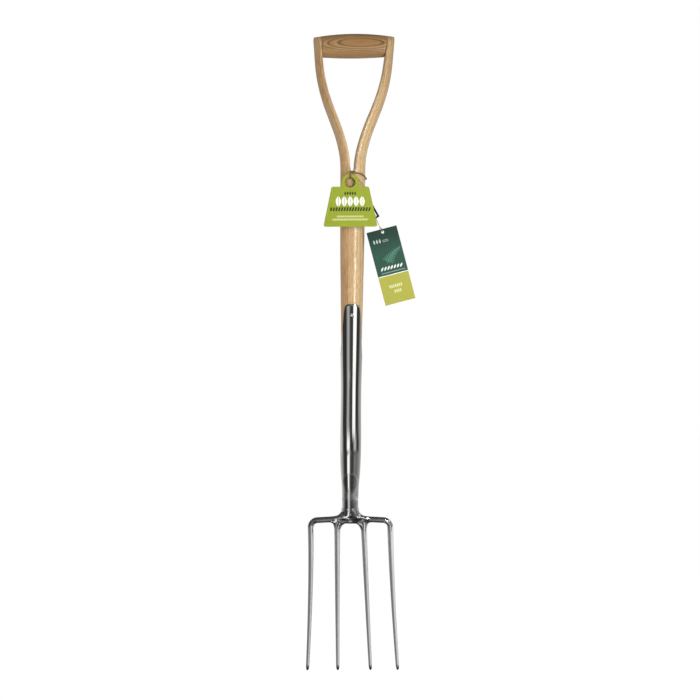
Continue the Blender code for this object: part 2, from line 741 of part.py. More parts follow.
def make_inner_tine(side, name, material):
    """An inner tine, straight down from its root."""
    start = CROWN_TOP_Z - ROOT_DROP - FIT_GAP
    heights = tine_heights(start)
    path = [(side * tine_x(INNER_TINE_X, INNER_TINE_SPLAY, 1.0, z), z) for z in heights]
    sweep(name, path, [tine_half_size(z) for z in heights], material)


def make_outer_tine(side, splay, name, material):
    """An outer tine: out from the shoulder bar, round its corner and down."""
    slope = math.atan(SHOULDER_SLOPE)
    centre_x = OUTER_TINE_X - CORNER_RADIUS
    corner_x = centre_x + CORNER_RADIUS * math.sin(slope)
    corner_z = shoulder_z(corner_x) - CORNER_RADIUS * math.cos(slope)
    start_x = SHOULDER_HALF_LENGTH + FIT_GAP
    shoulder = [start_x + (corner_x - start_x) * step / 3 for step in range(3)]
    points = [(x, shoulder_z(x)) for x in shoulder]
    for step in range(CORNER_RINGS + 1):
        angle = math.pi / 2 - slope - (math.pi / 2 - slope) * step / CORNER_RINGS
        points.append((centre_x + CORNER_RADIUS * math.cos(angle), corner_z + CORNER_RADIUS * math.sin(angle)))
    for z in tine_heights(corner_z)[1:]:
        points.append((tine_x(OUTER_TINE_X, splay, SPLAY_POWER, z), z))
    path = [(side * x, z) for x, z in points]
    sweep(name, path, [tine_half_size(z) for _, z in points], material)


def rounded(corners, radius, steps=4):
    """An outline with each of its corners rounded by an arc."""
    outline = []
    for index, corner in enumerate(corners):
        corner = Vector(corner)
        back = (Vector(corners[index - 1]) - corner).normalized()
        ahead = (Vector(corners[(index + 1) % len(corners)]) - corner).normalized()
        half_angle = back.angle(ahead) / 2
        inward = (back + ahead).normalized()
        centre = corner + inward * radius / math.sin(half_angle)
        start = back * radius / math.tan(half_angle) + corner - centre
        sweep_angle = start.angle_signed(ahead * radius / math.tan(half_angle) + corner - centre)
        for step in range(steps + 1):
            turn = Matrix.Rotation(-sweep_angle * step / steps, 2)
            outline.append(centre + turn @ start)
    return outline


def circle(centre, radius, sides):
    """Corners of a circle in the plane of a card."""
    angles = [2 * math.pi * side / sides for side in range(sides)]
    return [Vector((centre[0] + radius * math.cos(a), centre[1] + radius * math.sin(a))) for a in angles]


def make_card(name, outline, hole, turn, hole_place, back_y, thickness, material):
    """A flat card with one hole: its outline is given about the hole, turned, and set at the hole's place."""
    mesh_data = bmesh.new()
    rotation = Matrix.Rotation(turn, 2)
    for loop in (outline, hole):
        corners = []
        for point in loop:
            x, z = rotation @ Vector(point)
            corners.append(mesh_data.verts.new((x + hole_place[0], back_y, z + hole_place[1])))
        for index, corner in enumerate(corners):
            mesh_data.edges.new((corner, corners[(index + 1) % len(corners)]))
    bmesh.ops.triangle_fill(mesh_data, use_beauty=True, edges=mesh_data.edges)
    faces = mesh_data.faces[:]
    extruded = bmesh.ops.extrude_face_region(mesh_data, geom=faces, use_keep_orig=True)
    moved = [item for item in extruded["geom"] if isinstance(item, bmesh.types.BMVert)]
    bmesh.ops.translate(mesh_data, verts=moved, vec=(0, -thickness, 0))
    return add_mesh(name, mesh_data, material)


def hang(piece, pivot_name, place):
    """Parents a swinging piece to an empty on its hinge's axis."""
    pivot = bpy.data.objects.get(pivot_name)
    if pivot is None:
        pivot = bpy.data.objects.new(pivot_name, None)
        pivot.empty_display_size = PIVOT_DISPLAY_SIZE
        pivot.location = place
        bpy.context.collection.objects.link(pivot)
    piece.parent = pivot
    piece.matrix_parent_inverse = Matrix.Translation(place).inverted()


def make_weight_tag(material):
    """The trapezium card with a punched ring at its top."""
    top = -WEIGHT_RING_RISE
    bottom = top - WEIGHT_TAG_HEIGHT
    half_top, half_bottom = WEIGHT_TAG_TOP_WIDTH / 2, WEIGHT_TAG_BOTTOM_WIDTH / 2
    corners = [(-half_top, top), (-half_bottom, bottom), (half_bottom, bottom), (half_top, top)]
    outline = rounded(corners, WEIGHT_TAG_CORNER)
    outline.append(Vector((WEIGHT_RING_RADIUS, top)))
    for step in range(WEIGHT_RING_STEPS + 1):
        angle = math.pi * step / WEIGHT_RING_STEPS
        outline.append(Vector((math.cos(angle), math.sin(angle))) * WEIGHT_RING_RADIUS)
    outline.append(Vector((-WEIGHT_RING_RADIUS, top)))
    hole = circle((0, 0), WEIGHT_RING_HOLE, 28)
    hole_offset = WEIGHT_HANG_ABOVE_HOLE * math.sin(math.radians(4.3))
    hole_place = (WEIGHT_HANG[0] - hole_offset, WEIGHT_HANG[1] - WEIGHT_HANG_ABOVE_HOLE)
    back = -THROAT_RADIUS - WEIGHT_TAG_STANDOFF
    card = make_card(
        "weight_tag", outline, hole, WEIGHT_TAG_TURN, hole_place, back, WEIGHT_TAG_THICKNESS, material
    )
    hang(card, "weight_tag_pivot", (WEIGHT_HANG[0], back - WEIGHT_TAG_THICKNESS / 2, WEIGHT_HANG[1]))


def card_outline(width, length, inset, offset=0.0):
    """A plain card's outline about its hole, which lies at an inset from the top and off the middle."""
    left, right = -width / 2 - offset, width / 2 - offset
    return rounded([(left, inset), (left, inset - length), (right, inset - length), (right, inset)], CARD_CORNER, 2)


def make_label(material):
    """The small label and the hinge at its hole."""
    outline = card_outline(LABEL_WIDTH, LABEL_LENGTH, LABEL_HOLE_INSET)
    back = -THROAT_RADIUS - LABEL_STANDOFF
    hole = circle((0, 0), LABEL_HOLE_RADIUS, 12)
    card = make_card("small_label", outline, hole, LABEL_TURN, LABEL_HOLE, back, LABEL_THICKNESS, material)
    hang(card, "small_label_pivot", (LABEL_HOLE[0], back - LABEL_THICKNESS / 2, LABEL_HOLE[1]))


def make_swing_tag(material):
    """The swing card, which turns about the thread's knot."""
    outline = card_outline(SWING_TAG_WIDTH, SWING_TAG_LENGTH, SWING_TAG_HOLE_INSET, SWING_TAG_HOLE_OFFSET)
    back = -THROAT_RADIUS - SWING_TAG_STANDOFF
    hole = circle((0, 0), SWING_TAG_HOLE_RADIUS, 16)
    card = make_card(
        "swing_tag", outline, hole, SWING_TAG_TURN, SWING_TAG_HOLE, back, SWING_TAG_THICKNESS, material
    )
    hang(card, "swing_tag_pivot", THREAD_KNOT)


def smooth_route(route, spacing):
    """Points at even spacing along a smooth curve through a route's points."""
    points = [Vector(point) for point in route]
    ends = [2 * points[0] - points[1], *points, 2 * points[-1] - points[-2]]
    fine = []
    for a, b, c, d in zip(ends, ends[1:], ends[2:], ends[3:]):
        for step in range(16):
            t = step / 16
            cubic = (3 * b - a - 3 * c + d) * t**3 + (2 * a - 5 * b + 4 * c - d) * t**2
            fine.append((cubic + (c - a) * t) / 2 + b)
    fine.append(points[-1])
    lengths = np.cumsum([0.0] + [(q - p).length for p, q in zip(fine, fine[1:])])
    count = max(2, round(lengths[-1] / spacing))
    even = np.linspace(0, lengths[-1], count + 1)
    columns = [np.interp(even, lengths, [point[axis] for point in fine]) for axis in range(3)]
    return [Vector(point) for point in zip(*columns)]


def make_cord(name, route, diameter, material, step):
    """A round cord along a route, with its ends closed."""
    curve = bpy.data.curves.new(name, "CURVE")
    curve.dimensions = "3D"
    curve.bevel_depth = diameter / 2
    curve.bevel_resolution = 2
    curve.use_fill_caps = True
    curve.render_resolution_u = 0
    points = smooth_route(route, step * diameter)
    spline = curve.splines.new("POLY")
    spline.points.add(len(points) - 1)
    for place, point in zip(points, spline.points):
        point.co = (*place, 1.0)
    curve.materials.append(material)
    cord = bpy.data.objects.new(name, curve)
    bpy.context.collection.objects.link(cord)
    return cord


def make_knot(name, place, half_sizes, material):
    """A knot as a small rounded lump."""
    mesh_data = bmesh.new()
    bmesh.ops.create_uvsphere(mesh_data, u_segments=12, v_segments=8, radius=1.0)
    bmesh.ops.scale(mesh_data, vec=half_sizes, verts=mesh_data.verts)
    bmesh.ops.translate(mesh_data, vec=place, verts=mesh_data.verts)
    return add_mesh(name, mesh_data, material)


def make_cords(cord, thread):
    """The throat's cord, its bight and knot, and the threads that hold the two smaller tags."""
    make_cord("throat_cord", THROAT_CORD_ROUTE, CORD_DIAMETER, cord, THROAT_CORD_STEP)
    make_cord("cord_bight", CORD_BIGHT_ROUTE, CORD_DIAMETER, cord, BIGHT_STEP)
    make_knot("cord_knot", CORD_KNOT, CORD_KNOT_SIZE, cord)
    make_cord("label_thread", LABEL_THREAD_ROUTE, THREAD_DIAMETER, thread, LABEL_THREAD_STEP)
    label_front = -THROAT_RADIUS - LABEL_STANDOFF - LABEL_THICKNESS
    knot_y = label_front - FIT_GAP - LABEL_KNOT_SIZE[1]
    make_knot("label_knot", (LABEL_HOLE[0], knot_y, LABEL_HOLE[1]), LABEL_KNOT_SIZE, thread)
    make_cord("tag_thread", TAG_THREAD_ROUTE, THREAD_DIAMETER, thread, TAG_THREAD_STEP)
    make_knot("thread_knot", THREAD_KNOT, (THREAD_KNOT_RADIUS,) * 3, thread)
    loop = make_cord("tag_loop", TAG_LOOP_ROUTE, THREAD_DIAMETER, thread, LOOP_STEP)
    hang(loop, "swing_tag_pivot", THREAD_KNOT)


def main():
    for old in list(bpy.data.objects):
        bpy.data.objects.remove(old)

    ash = look("ash", (0.66, 0.47, 0.29), 0.5)
    grip_ash = look("grip_ash", (0.52, 0.35, 0.20), 0.5)
    polished = look("polished_steel", (0.62, 0.61, 0.60), 0.15, 1.0)
    satin = look("satin_steel", (0.55, 0.55, 0.55), 0.35, 1.0)
    zinc = look("zinc_steel", (0.6, 0.6, 0.6), 0.4, 1.0)
    lime = look("lime_card", (0.37, 0.46, 0.03), 0.6)
    white = look("white_label", (0.85, 0.85, 0.83), 0.6)
    green = look("green_card", (0.03, 0.10, 0.08), 0.6)
    cord = look("hemp_cord", (0.23, 0.10, 0.05), 0.9)
    thread = look("cotton_thread", (0.62, 0.58, 0.40), 0.9)

    shaft = make_wishbone(ash)
    grip = make_grip(grip_ash)
    make_pin(shaft, grip, zinc)
    socket = make_socket(polished)
    make_screw("front_screw", -1, FRONT_SCREW_DROP, (socket, shaft), zinc)
    make_screw("rear_screw", 1, REAR_SCREW_DROP, (socket, shaft), zinc)

    make_crown(polished)
    make_outer_tine(-1, OUTER_LEFT_SPLAY, "tine_outer_left", satin)
    make_inner_tine(-1, "tine_inner_left", satin)
    make_inner_tine(1, "tine_inner_right", satin)
    make_outer_tine(1, OUTER_RIGHT_SPLAY, "tine_outer_right", satin)

    make_weight_tag(lime)
    make_label(white)
    make_swing_tag(green)
    make_cords(cord, thread)


main()
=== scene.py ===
"""Border fork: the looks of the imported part, in metres, +Z up, with the front facing -Y."""

import math

import bpy
import numpy as np
from bpy.props import FloatProperty, FloatVectorProperty, IntProperty, PointerProperty
from mathutils import Matrix, Vector


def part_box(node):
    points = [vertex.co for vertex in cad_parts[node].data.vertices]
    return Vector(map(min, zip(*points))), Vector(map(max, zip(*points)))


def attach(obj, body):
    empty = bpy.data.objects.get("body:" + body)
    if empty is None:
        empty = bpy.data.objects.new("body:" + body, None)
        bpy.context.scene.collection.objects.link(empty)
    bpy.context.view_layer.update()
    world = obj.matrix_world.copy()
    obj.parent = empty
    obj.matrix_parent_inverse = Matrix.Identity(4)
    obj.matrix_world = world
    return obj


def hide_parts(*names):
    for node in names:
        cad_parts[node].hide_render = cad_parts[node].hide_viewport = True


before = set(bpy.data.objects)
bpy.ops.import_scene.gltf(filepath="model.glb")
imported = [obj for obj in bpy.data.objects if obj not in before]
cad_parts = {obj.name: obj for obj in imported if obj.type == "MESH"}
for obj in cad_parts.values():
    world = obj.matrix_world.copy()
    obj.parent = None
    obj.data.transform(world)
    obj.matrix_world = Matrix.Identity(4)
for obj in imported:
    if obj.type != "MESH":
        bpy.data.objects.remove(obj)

bl_info = {
    "name": "Border fork",
    "version": (1, 0, 0),
    "blender": (4, 5, 0),
    "location": "View3D > Sidebar > Border fork",
    "description": "Builds the wood, steel, cards and cords of a border fork round its packed frame",
    "category": "Object",
}

FIT_GAP = 0.0003

# Grip: a barrel about X whose underside touches z = 0
GRIP_RADIUS = 0.0186
GRIP_END_LOSS = 0.0024
GRIP_TILT = math.radians(1.1)
GRIP_SAG = 0.0007
GRIP_HALF_LENGTH = 0.047
GRIP_EDGE_EASE = 0.0006
GRIP_EDGE_SHARE = 0.012

# Wishbone: share of the arm's height, share of its spread, share of its thickness
THROAT_RADIUS = 0.01875
THROAT_Z = -0.1715
ARM_SPREAD = 0.0423
ARM_HEIGHT = 0.197
ARM_THICKNESS = 0.0154
SPLIT_OFFSET = -0.0014
SPLIT_OFFSET_FADE_POWER = 3
SPLIT_OFFSET_FADE_LENGTH = 0.06
ARM_STATIONS = (
    (0.0000, 0.0000, THROAT_RADIUS / ARM_THICKNESS),
    (0.0076, 0.0003, 1.114),
    (0.0223, 0.0012, 1.052),
    (0.0528, 0.0047, 1.000),
    (0.0832, 0.0120, 1.004),
    (0.1442, 0.0520, 1.003),
    (0.2663, 0.1910, 1.003),
    (0.3875, 0.4000, 1.037),
    (0.5096, 0.6160, 1.003),
    (0.6317, 0.7870, 0.932),
    (0.7538, 0.8980, 0.868),
    (0.8749, 0.9540, 0.812),
    (1.0000, 1.0000, 0.788),
)
ARM_TOP_HALF_DEPTH = 0.0146
ARM_DEPTH_STATIONS = ((0.0, 0.0), (0.294, 0.289), (0.588, 0.651), (1.0, 1.0))
ARM_CORNER_LOSS = 0.10
ARM_CORNER_START = 0.6
CORNER_ROUNDS = 5
CORNER_RISE = 0.022
THROAT_ROWS = (0.0, 0.0006, 0.0015, 0.0028, 0.0044, 0.0064, 0.0088, 0.0116, 0.015, 0.019, 0.0235, 0.0284)
DOME_ROWS = (15, 28, 40, 50, 58, 65, 71, 76, 80, 84, 87, 90)

# Shaft and socket: share of the length, share of the radius step
SHAFT_LENGTH = 0.197
SHAFT_STATIONS = ((0.0, 1.0), (0.473, 0.767), (0.653, 0.558), (0.833, 0.233), (0.953, 0.07), (1.0, 0.0))
SHAFT_SEAT_LENGTH = 0.230
SHAFT_SEAT_ROWS = (-0.54, -0.49, -0.46)
SOCKET_TOP_Z = -0.3685
SOCKET_LENGTH = 0.3056
SOCKET_END_Z = SOCKET_TOP_Z - SOCKET_LENGTH
SOCKET_TOP_RADIUS = 0.0181
SOCKET_END_RADIUS = 0.01225
SOCKET_WALL = 0.0012
SOCKET_STATIONS = (
    (0.000, 1.000), (0.252, 0.726), (0.425, 0.521), (0.481, 0.521),
    (0.834, 0.342), (0.893, 0.085), (0.991, 0.000), (1.000, 0.000),
)
RIM_DROP = 0.0776
RIM_SHARPNESS = 0.65
RIM_POWER = 5
RIM_ROWS_SHARE = 1.1
RIM_EDGE = 0.0004

# Countersunk front screw
SCREW_Z = SOCKET_TOP_Z - 0.0165
SCREW_HEAD_RADIUS = 0.0036
SCREW_PROUD = 0.0006
SCREW_SHANK_RADIUS = 0.002
SCREW_LENGTH = 0.016
SCREW_CONE_LENGTH = 0.002
SCREW_POINT_LENGTH = 0.004
SCREW_SLOT_HALF_SIZE = (0.66 * SCREW_HEAD_RADIUS, 0.0010, 0.18 * SCREW_HEAD_RADIUS)
SCREW_SLOT_TURNS = (20, 110)

# Head: lift and lean by the drop below the crown's top, then the crown's sections as (drop, half width,
# half depth), its round neck with flatter wings, and the roots' as (drop, inner, outer, share of depth)
CROWN_TOP_Z = SOCKET_END_Z - FIT_GAP
HEAD_LIFT = 0.10
HEAD_LIFT_EASE = 0.003
HEAD_LIFT_GROWTH = 0.43
HEAD_LEAN = math.radians(1.3)
HEAD_TILT = math.radians(0.5)
CROWN_SECTIONS = (
    (0.0000, SOCKET_END_RADIUS, SOCKET_END_RADIUS), (0.0027, 0.0122, 0.0122), (0.0051, 0.0133, 0.0120),
    (0.0081, 0.0159, 0.0116), (0.0106, 0.0195, 0.0109), (0.0126, 0.0255, 0.0098), (0.0151, 0.0285, 0.0076),
    (0.0181, 0.0278, 0.0056), (0.0212, 0.0240, 0.0043), (0.0230, 0.0130, 0.0032),
)
NECK_RADIUS = SOCKET_END_RADIUS
NECK_FILLET = 0.0030
WING_DEPTH = 0.0080
ROOT_SECTIONS = (
    (0.0165, 0.0110, 0.0270, 0.84), (0.0206, 0.0082, 0.0286, 0.93), (0.0221, 0.0080, 0.0276, 0.98),
    (0.0237, 0.0096, 0.0263, 1.00), (0.0255, 0.0118, 0.0255, 1.00), (0.0283, 0.0137, 0.0249, 1.00),
    (0.0321, 0.0154, 0.0246, 1.00), (0.0361, 0.0156, 0.0246, 1.00),
)
ROOT_DROP = 0.0361
SHOULDER_DROP = 0.0165
SHOULDER_SLOPE = 0.06
SHOULDER_BEND_X = 0.028
SHOULDER_BEND_EASE = 0.006
CORNER_RADIUS = 0.0105
OUTER_TINE_X = 0.0597
OUTER_LEFT_SPLAY = 0.0100
OUTER_RIGHT_SPLAY = 0.0053
INNER_TINE_X = 0.0201
INNER_TINE_SPLAY = 0.0043
SPLAY_POWER = 1.6
TINE_HALF_SIZE = 0.0045
TINE_TAPER = 0.0019
TINE_TAPER_POWER = 0.8
TINE_DROP = 0.2395
TINE_TIP_LENGTH = 0.0091
TINE_TIP_HALF_SIZE = 0.0009
TINE_TIP_POWERS = (2.2, 0.62)
TINE_SECTION_POWER = 1.6
TINE_EDGE_EASE = 0.0005
TINE_FILLET = 0.0018
CROWN_FILLET = 0.0024
TIP_Z = CROWN_TOP_Z - TINE_DROP

# Cords: a strand's share of the thickness, by the number of strands, and the points that each one runs through
STRAND_SHARES = {2: 0.56, 3: 0.52, 4: 0.52}
STRAND_END_SHARE = 0.4
CORD_KNOT = (-0.00385, -0.0232, -0.1704)
CORD_KNOT_SIZE = (0.0029, 0.0023, 0.0017)
LABEL_KNOT = (0.0108, -0.0218, -0.2027)
LABEL_KNOT_SIZE = (0.0012, 0.00065, 0.0012)
THREAD_KNOT = (0.0406, -0.0212, -0.2545)
THREAD_KNOT_SIZE = (0.0016, 0.0013, 0.0017)
THROAT_CORD_ROUTE = (
    (-0.0006, -0.0232, -0.1704), (0.0009, -0.0230, -0.1706), (0.0030, -0.0218, -0.1715),
    (0.0064, -0.0197, -0.1726), (0.0108, -0.0172, -0.1732), (0.0150, -0.0137, -0.1751),
    (0.0183, -0.0088, -0.1779), (0.0203, 0.0000, -0.1802), (0.0172, 0.0108, -0.1807),
    (0.0108, 0.0172, -0.1785), (0.0050, 0.0199, -0.1741), (0.0016, 0.0207, -0.1714),
    (-0.0008, 0.0203, -0.1699), (-0.0014, 0.0180, -0.1696), (-0.0014, 0.0100, -0.1696),
    (-0.0014, 0.0000, -0.1696), (-0.0014, -0.0100, -0.1696), (-0.0014, -0.0160, -0.1696),
    (-0.0014, -0.0197, -0.1696),
)
CORD_BIGHT_ROUTE = (
    (-0.0046, -0.0215, -0.1724), (-0.0046, -0.0215, -0.1757), (-0.0046, -0.0215, -0.1791),
    (-0.0046, -0.02201, -0.18054), (-0.0046, -0.02325, -0.18105), (-0.0046, -0.02449, -0.18054),
    (-0.0046, -0.0250, -0.1791), (-0.0046, -0.0250, -0.1757), (-0.0046, -0.0249, -0.1721),
)
LABEL_THREAD_ROUTE = (
    (-0.0027, -0.0219, -0.1720), (-0.0024, -0.0213, -0.1747), (-0.0008, -0.0202, -0.1787),
    (0.0020, -0.0198, -0.1845), (0.0060, -0.0197, -0.1925), (0.0092, -0.0197, -0.1985),
    (0.0106, -0.0197, -0.2015), (0.0108, -0.0202, -0.2026), (0.0108, -0.02085, -0.2027),
)
TAG_THREAD_ROUTE = (
    (-0.0014, -0.0221, -0.1715), (0.0000, -0.0216, -0.1730), (0.0030, -0.0206, -0.1763),
    (0.0086, -0.0198, -0.1825), (0.0155, -0.0195, -0.19215), (0.0220, -0.0195, -0.2080),
    (0.0288, -0.0195, -0.2255), (0.0350, -0.0196, -0.24135), (0.0384, -0.0203, -0.2495),
    (0.0400, -0.0209, -0.2530),
)
TAG_LOOP_ROUTE = (
    (0.0409, -0.0210, -0.25606), (0.0416, -0.0206, -0.2574), (0.0432, -0.02055, -0.2593),
    (0.0443, -0.0202, -0.2601), (0.0444, -0.0196, -0.2602), (0.0445, -0.0190, -0.2599),
    (0.0443, -0.01865, -0.2585), (0.0437, -0.01865, -0.2565), (0.0432, -0.0189, -0.2550),
    (0.0429, -0.0195, -0.2544), (0.0426, -0.0202, -0.25425), (0.0422, -0.0207, -0.2543),
)

# Cards: the hole's place and the card's turn
WEIGHT_TAG_PLACE = (-0.0050, -0.18641)
WEIGHT_TAG_TURN = math.radians(0.8)
SWING_TAG_PLACE = (0.0444, -0.26025)
SWING_TAG_TURN = math.radians(15.2)
LABEL_PLACE = (0.0108, -0.2027)
LABEL_TURN = math.radians(30.5)


# Shader building

def arithmetic(operation, swapped=False):
    """A method that adds a Math node for a value and another one."""
    def method(self, other=0.0):
        pair = (other, self) if swapped else (self, other)
        return self.finish.node("Math", {"operation": operation}, pair)

    return method


class Value:
    """A socket of a shader. Arithmetic on it adds Math nodes."""

    def __init__(self, finish, socket):
        self.finish = finish
        self.socket = socket

    __add__ = __radd__ = arithmetic("ADD")
    __sub__, __rsub__ = arithmetic("SUBTRACT"), arithmetic("SUBTRACT", swapped=True)
    __mul__ = __rmul__ = arithmetic("MULTIPLY")
    __truediv__ = arithmetic("DIVIDE")
    __pow__ = arithmetic("POWER")
    __abs__ = arithmetic("ABSOLUTE")
    fraction = arithmetic("FRACT")
    larger = arithmetic("MAXIMUM")
    smaller = arithmetic("MINIMUM")

    def rise(self, low, high):
        """0 below low, 1 above high, and smooth in between. It falls where high is below low."""
        if high < low:
            return 1.0 - self.rise(high, low)
        settings = {"interpolation_type": "SMOOTHSTEP"}
        return self.finish.node("MapRange", settings, {"Value": self, "From Min": low, "From Max": high})


class Finish:
    """A material and the nodes that it is made of."""

    def __init__(self, name):
        self.material = bpy.data.materials.new(name)
        self.material.use_nodes = True
        self.tree = self.material.node_tree
        self.shader = self.tree.nodes["Principled BSDF"]

    def node(self, kind, settings=None, values=None, output=0):
        """A new node: its settings first, then the values or links of its sockets."""
        node = self.tree.nodes.new(f"ShaderNode{kind}")
        for name, setting in (settings or {}).items():
            if name == "stops":
                stops = node.color_ramp.elements
                while len(stops) < len(setting):
                    stops.new(1.0)
                for stop, (place, colour) in zip(stops, setting):
                    stop.position = place
                    stop.color = (*colour, 1.0) if hasattr(colour, "__len__") else (colour, colour, colour, 1.0)
            else:
                setattr(node, name, setting)
        pairs = values.items() if isinstance(values, dict) else enumerate(values or ())
        for key, value in pairs:
            self.feed(node.inputs[key], value)
        return Value(self, node.outputs[output])

    def feed(self, socket, value):
        if isinstance(value, Value):
            self.tree.links.new(value.socket, socket)
        elif socket.type == "RGBA" and len(value) == 3:
            socket.default_value = (*value, 1.0)
        else:
            socket.default_value = value

    def place(self, attribute=None):
        """The Object coordinates, or a stored place that follows the surface, as a vector and as x, y and z."""
        if attribute:
            vector = self.node("Attribute", {"attribute_name": attribute}, output="Vector")
        else:
            vector = self.node("TexCoord", output="Object")
        split = self.node("SeparateXYZ", None, (vector,))
        outputs = split.socket.node.outputs
        return vector, Value(self, outputs["X"]), Value(self, outputs["Y"]), Value(self, outputs["Z"])

    def vector(self, x, y, z):
        return self.node("CombineXYZ", None, (x, y, z))

    def noise(self, vector, scale=1.0, detail=3.0, roughness=0.5):
        """Noise with one scale, or with one each for x, y and z."""
        if isinstance(scale, tuple):
            vector, scale = self.node("VectorMath", {"operation": "MULTIPLY"}, (vector, scale)), 1.0
        values = {"Vector": vector, "Scale": scale, "Detail": detail, "Roughness": roughness}
        return self.node("TexNoise", None, values)

    def ramp(self, value, *stops):
        return self.node("ValToRGB", {"stops": stops}, (value,))

    def mix(self, factor, first, second, blend="MIX"):
        """A mix of two colours."""
        settings = {"data_type": "RGBA", "blend_type": blend}
        node = self.node("Mix", settings, {"Factor": factor})
        inputs = node.socket.node.inputs
        self.feed(inputs[6], first)
        self.feed(inputs[7], second)
        return Value(self, node.socket.node.outputs[2])

    def bump(self, height, strength, distance):
        return self.node("Bump", None, {"Height": height, "Strength": strength, "Distance": distance})

    def set(self, **sockets):
        """Values or links for the Principled shader, by its sockets' names in lower case."""
        inputs = {socket.name.lower().replace(" ", "_"): socket for socket in self.shader.inputs}
        for name, value in sockets.items():
            self.feed(inputs[name], value)
        return self.material


def shade(colour, level):
    return tuple(channel * level for channel in colour)


def band(value, low, high, edge):
    """1 between low and high, with soft edges."""
    return value.rise(low - edge, low + edge) * value.rise(high + edge, high - edge)


# Modelling helpers

def deselect():
    bpy.ops.object.select_all(action="DESELECT")


def pick(*pieces):
    deselect()
    for piece in pieces:
        piece.select_set(True)
    bpy.context.view_layer.objects.active = pieces[0]


def in_edit(piece, *steps):
    """Runs edit mode steps on all of a piece's mesh."""
    pick(piece)
    bpy.ops.object.mode_set(mode="EDIT")
    bpy.ops.mesh.select_all(action="SELECT")
    for step in steps:
        step()
    bpy.ops.object.mode_set(mode="OBJECT")


def points_of(piece):
    places = np.empty(len(piece.data.vertices) * 3)
    piece.data.vertices.foreach_get("co", places)
    return places.reshape(-1, 3)


def move_points(piece, places):
    piece.data.vertices.foreach_set("co", places.ravel())
    piece.data.update()


def tube(name, rings, grain=None, capped=False):
    """A circle extruded once for each ring of points, and shaped through them."""
    rings = np.asarray(rings, float)
    count, sides = rings.shape[:2]
    deselect()
    bpy.ops.mesh.primitive_circle_add(vertices=sides, radius=1.0, fill_type="NGON" if capped else "NOTHING")
    piece = bpy.context.object
    piece.name = piece.data.name = name
    bpy.ops.object.mode_set(mode="EDIT")
    bpy.ops.mesh.select_all(action="SELECT")
    for _ in range(count - 1):
        bpy.ops.mesh.extrude_region_move(TRANSFORM_OT_translate={"value": (0, 0, 1)})
    bpy.ops.object.mode_set(mode="OBJECT")
    places = points_of(piece)
    columns = np.rint(np.arctan2(places[:, 0], -places[:, 1]) * sides / (2 * math.pi)).astype(int) % sides
    levels = np.rint(places[:, 2]).astype(int)
    move_points(piece, rings[levels, columns])
    if grain is not None:
        stored = piece.data.attributes.new("grain", "FLOAT_VECTOR", "POINT")
        stored.data.foreach_set("vector", np.asarray(grain, float)[levels, columns].ravel())
    return piece


def weld(piece, distance=0.00002):
    """Merges what meets, closes what is left open and turns all faces outward."""
    in_edit(
        piece,
        lambda: bpy.ops.mesh.remove_doubles(threshold=distance),
        lambda: bpy.ops.mesh.fill_holes(sides=0),
        lambda: bpy.ops.mesh.normals_make_consistent(inside=False),
    )


def join(name, pieces):
    pick(*pieces)
    bpy.ops.object.join()
    piece = bpy.context.object
    piece.name = piece.data.name = name
    return piece


def finished(piece, angle=35):
    """Applies every modifier and smooths the shading."""
    pick(piece)
    for modifier in list(piece.modifiers):
        bpy.ops.object.modifier_apply(modifier=modifier.name)
    bpy.ops.object.shade_smooth_by_angle(angle=math.radians(angle))
    return piece


def settle(piece, material, body, slot, *nodes):
    """Gives a finished piece its material and its body, and hides the CAD nodes that it stands in for; the slot is
    not used.
    """
    piece.data.materials.clear()
    piece.data.materials.append(material)
    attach(piece, body)
    if nodes:
        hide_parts(*nodes)
    return piece


def coat(node, material):
    """A better material on a CAD node that stays."""
    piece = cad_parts[node]
    for slot in piece.material_slots:
        slot.material = material


def smooth(stations, place):
    """The value at a place on a smooth curve through stations of (place, value)."""
    places = [station[0] for station in stations]
    values = [station[1] for station in stations]
    if place <= places[0]:
        return values[0]
    if place >= places[-1]:
        return values[-1]
    slopes = np.gradient(values, places)
    index = int(np.searchsorted(places, place)) - 1
    width = places[index + 1] - places[index]
    t = (place - places[index]) / width
    start = (2 * t**3 - 3 * t**2 + 1) * values[index] + (t**3 - 2 * t**2 + t) * width * slopes[index]
    end = (3 * t**2 - 2 * t**3) * values[index + 1] + (t**3 - t**2) * width * slopes[index + 1]
    return float(start + end)


def turns(sides):
    """The angle of each column, from the front round by the right."""
    return np.arange(sides) * 2 * math.pi / sides


# Shapes of the wood

def grip_radius(x):
    return GRIP_RADIUS - GRIP_END_LOSS * (x / GRIP_HALF_LENGTH) ** 2


def grip_axis(x):
    """Height of the barrel's middle line: it tilts a little, and its ends are shaped lower."""
    return GRIP_RADIUS + x * math.tan(GRIP_TILT) - GRIP_SAG * (x / GRIP_HALF_LENGTH) ** 2


def arm_station(share, item):
    """The spread (1) or thickness (2) of an arm at a share of its height. It goes on straight past the top."""
    stations = [(station[0], station[item]) for station in ARM_STATIONS]
    (start, first), (end, last) = stations[-2:]
    if share > start:
        return first + (share - start) / (end - start) * (last - first)
    return smooth(stations, share)


def arm_edges(side, z):
    """Where an arm's inner face and its outermost line lie at a height."""
    share = (z - THROAT_Z) / ARM_HEIGHT
    spread, thickness = arm_station(share, 1), arm_station(share, 2)
    outer = THROAT_RADIUS + ARM_SPREAD * spread
    offset = SPLIT_OFFSET * (1 - min(max(share, 0.0), 1.0) ** SPLIT_OFFSET_FADE_POWER)
    return side * (outer - ARM_THICKNESS * thickness) + offset, side * outer


def arm_half_depth(z, x):
    share = smooth(ARM_DEPTH_STATIONS, z / THROAT_Z)
    depth = ARM_TOP_HALF_DEPTH + (THROAT_RADIUS - ARM_TOP_HALF_DEPTH) * share
    if z <= 0:
        return depth
    return depth + (grip_radius(x) - depth) * min(z / GRIP_RADIUS, 1.0)


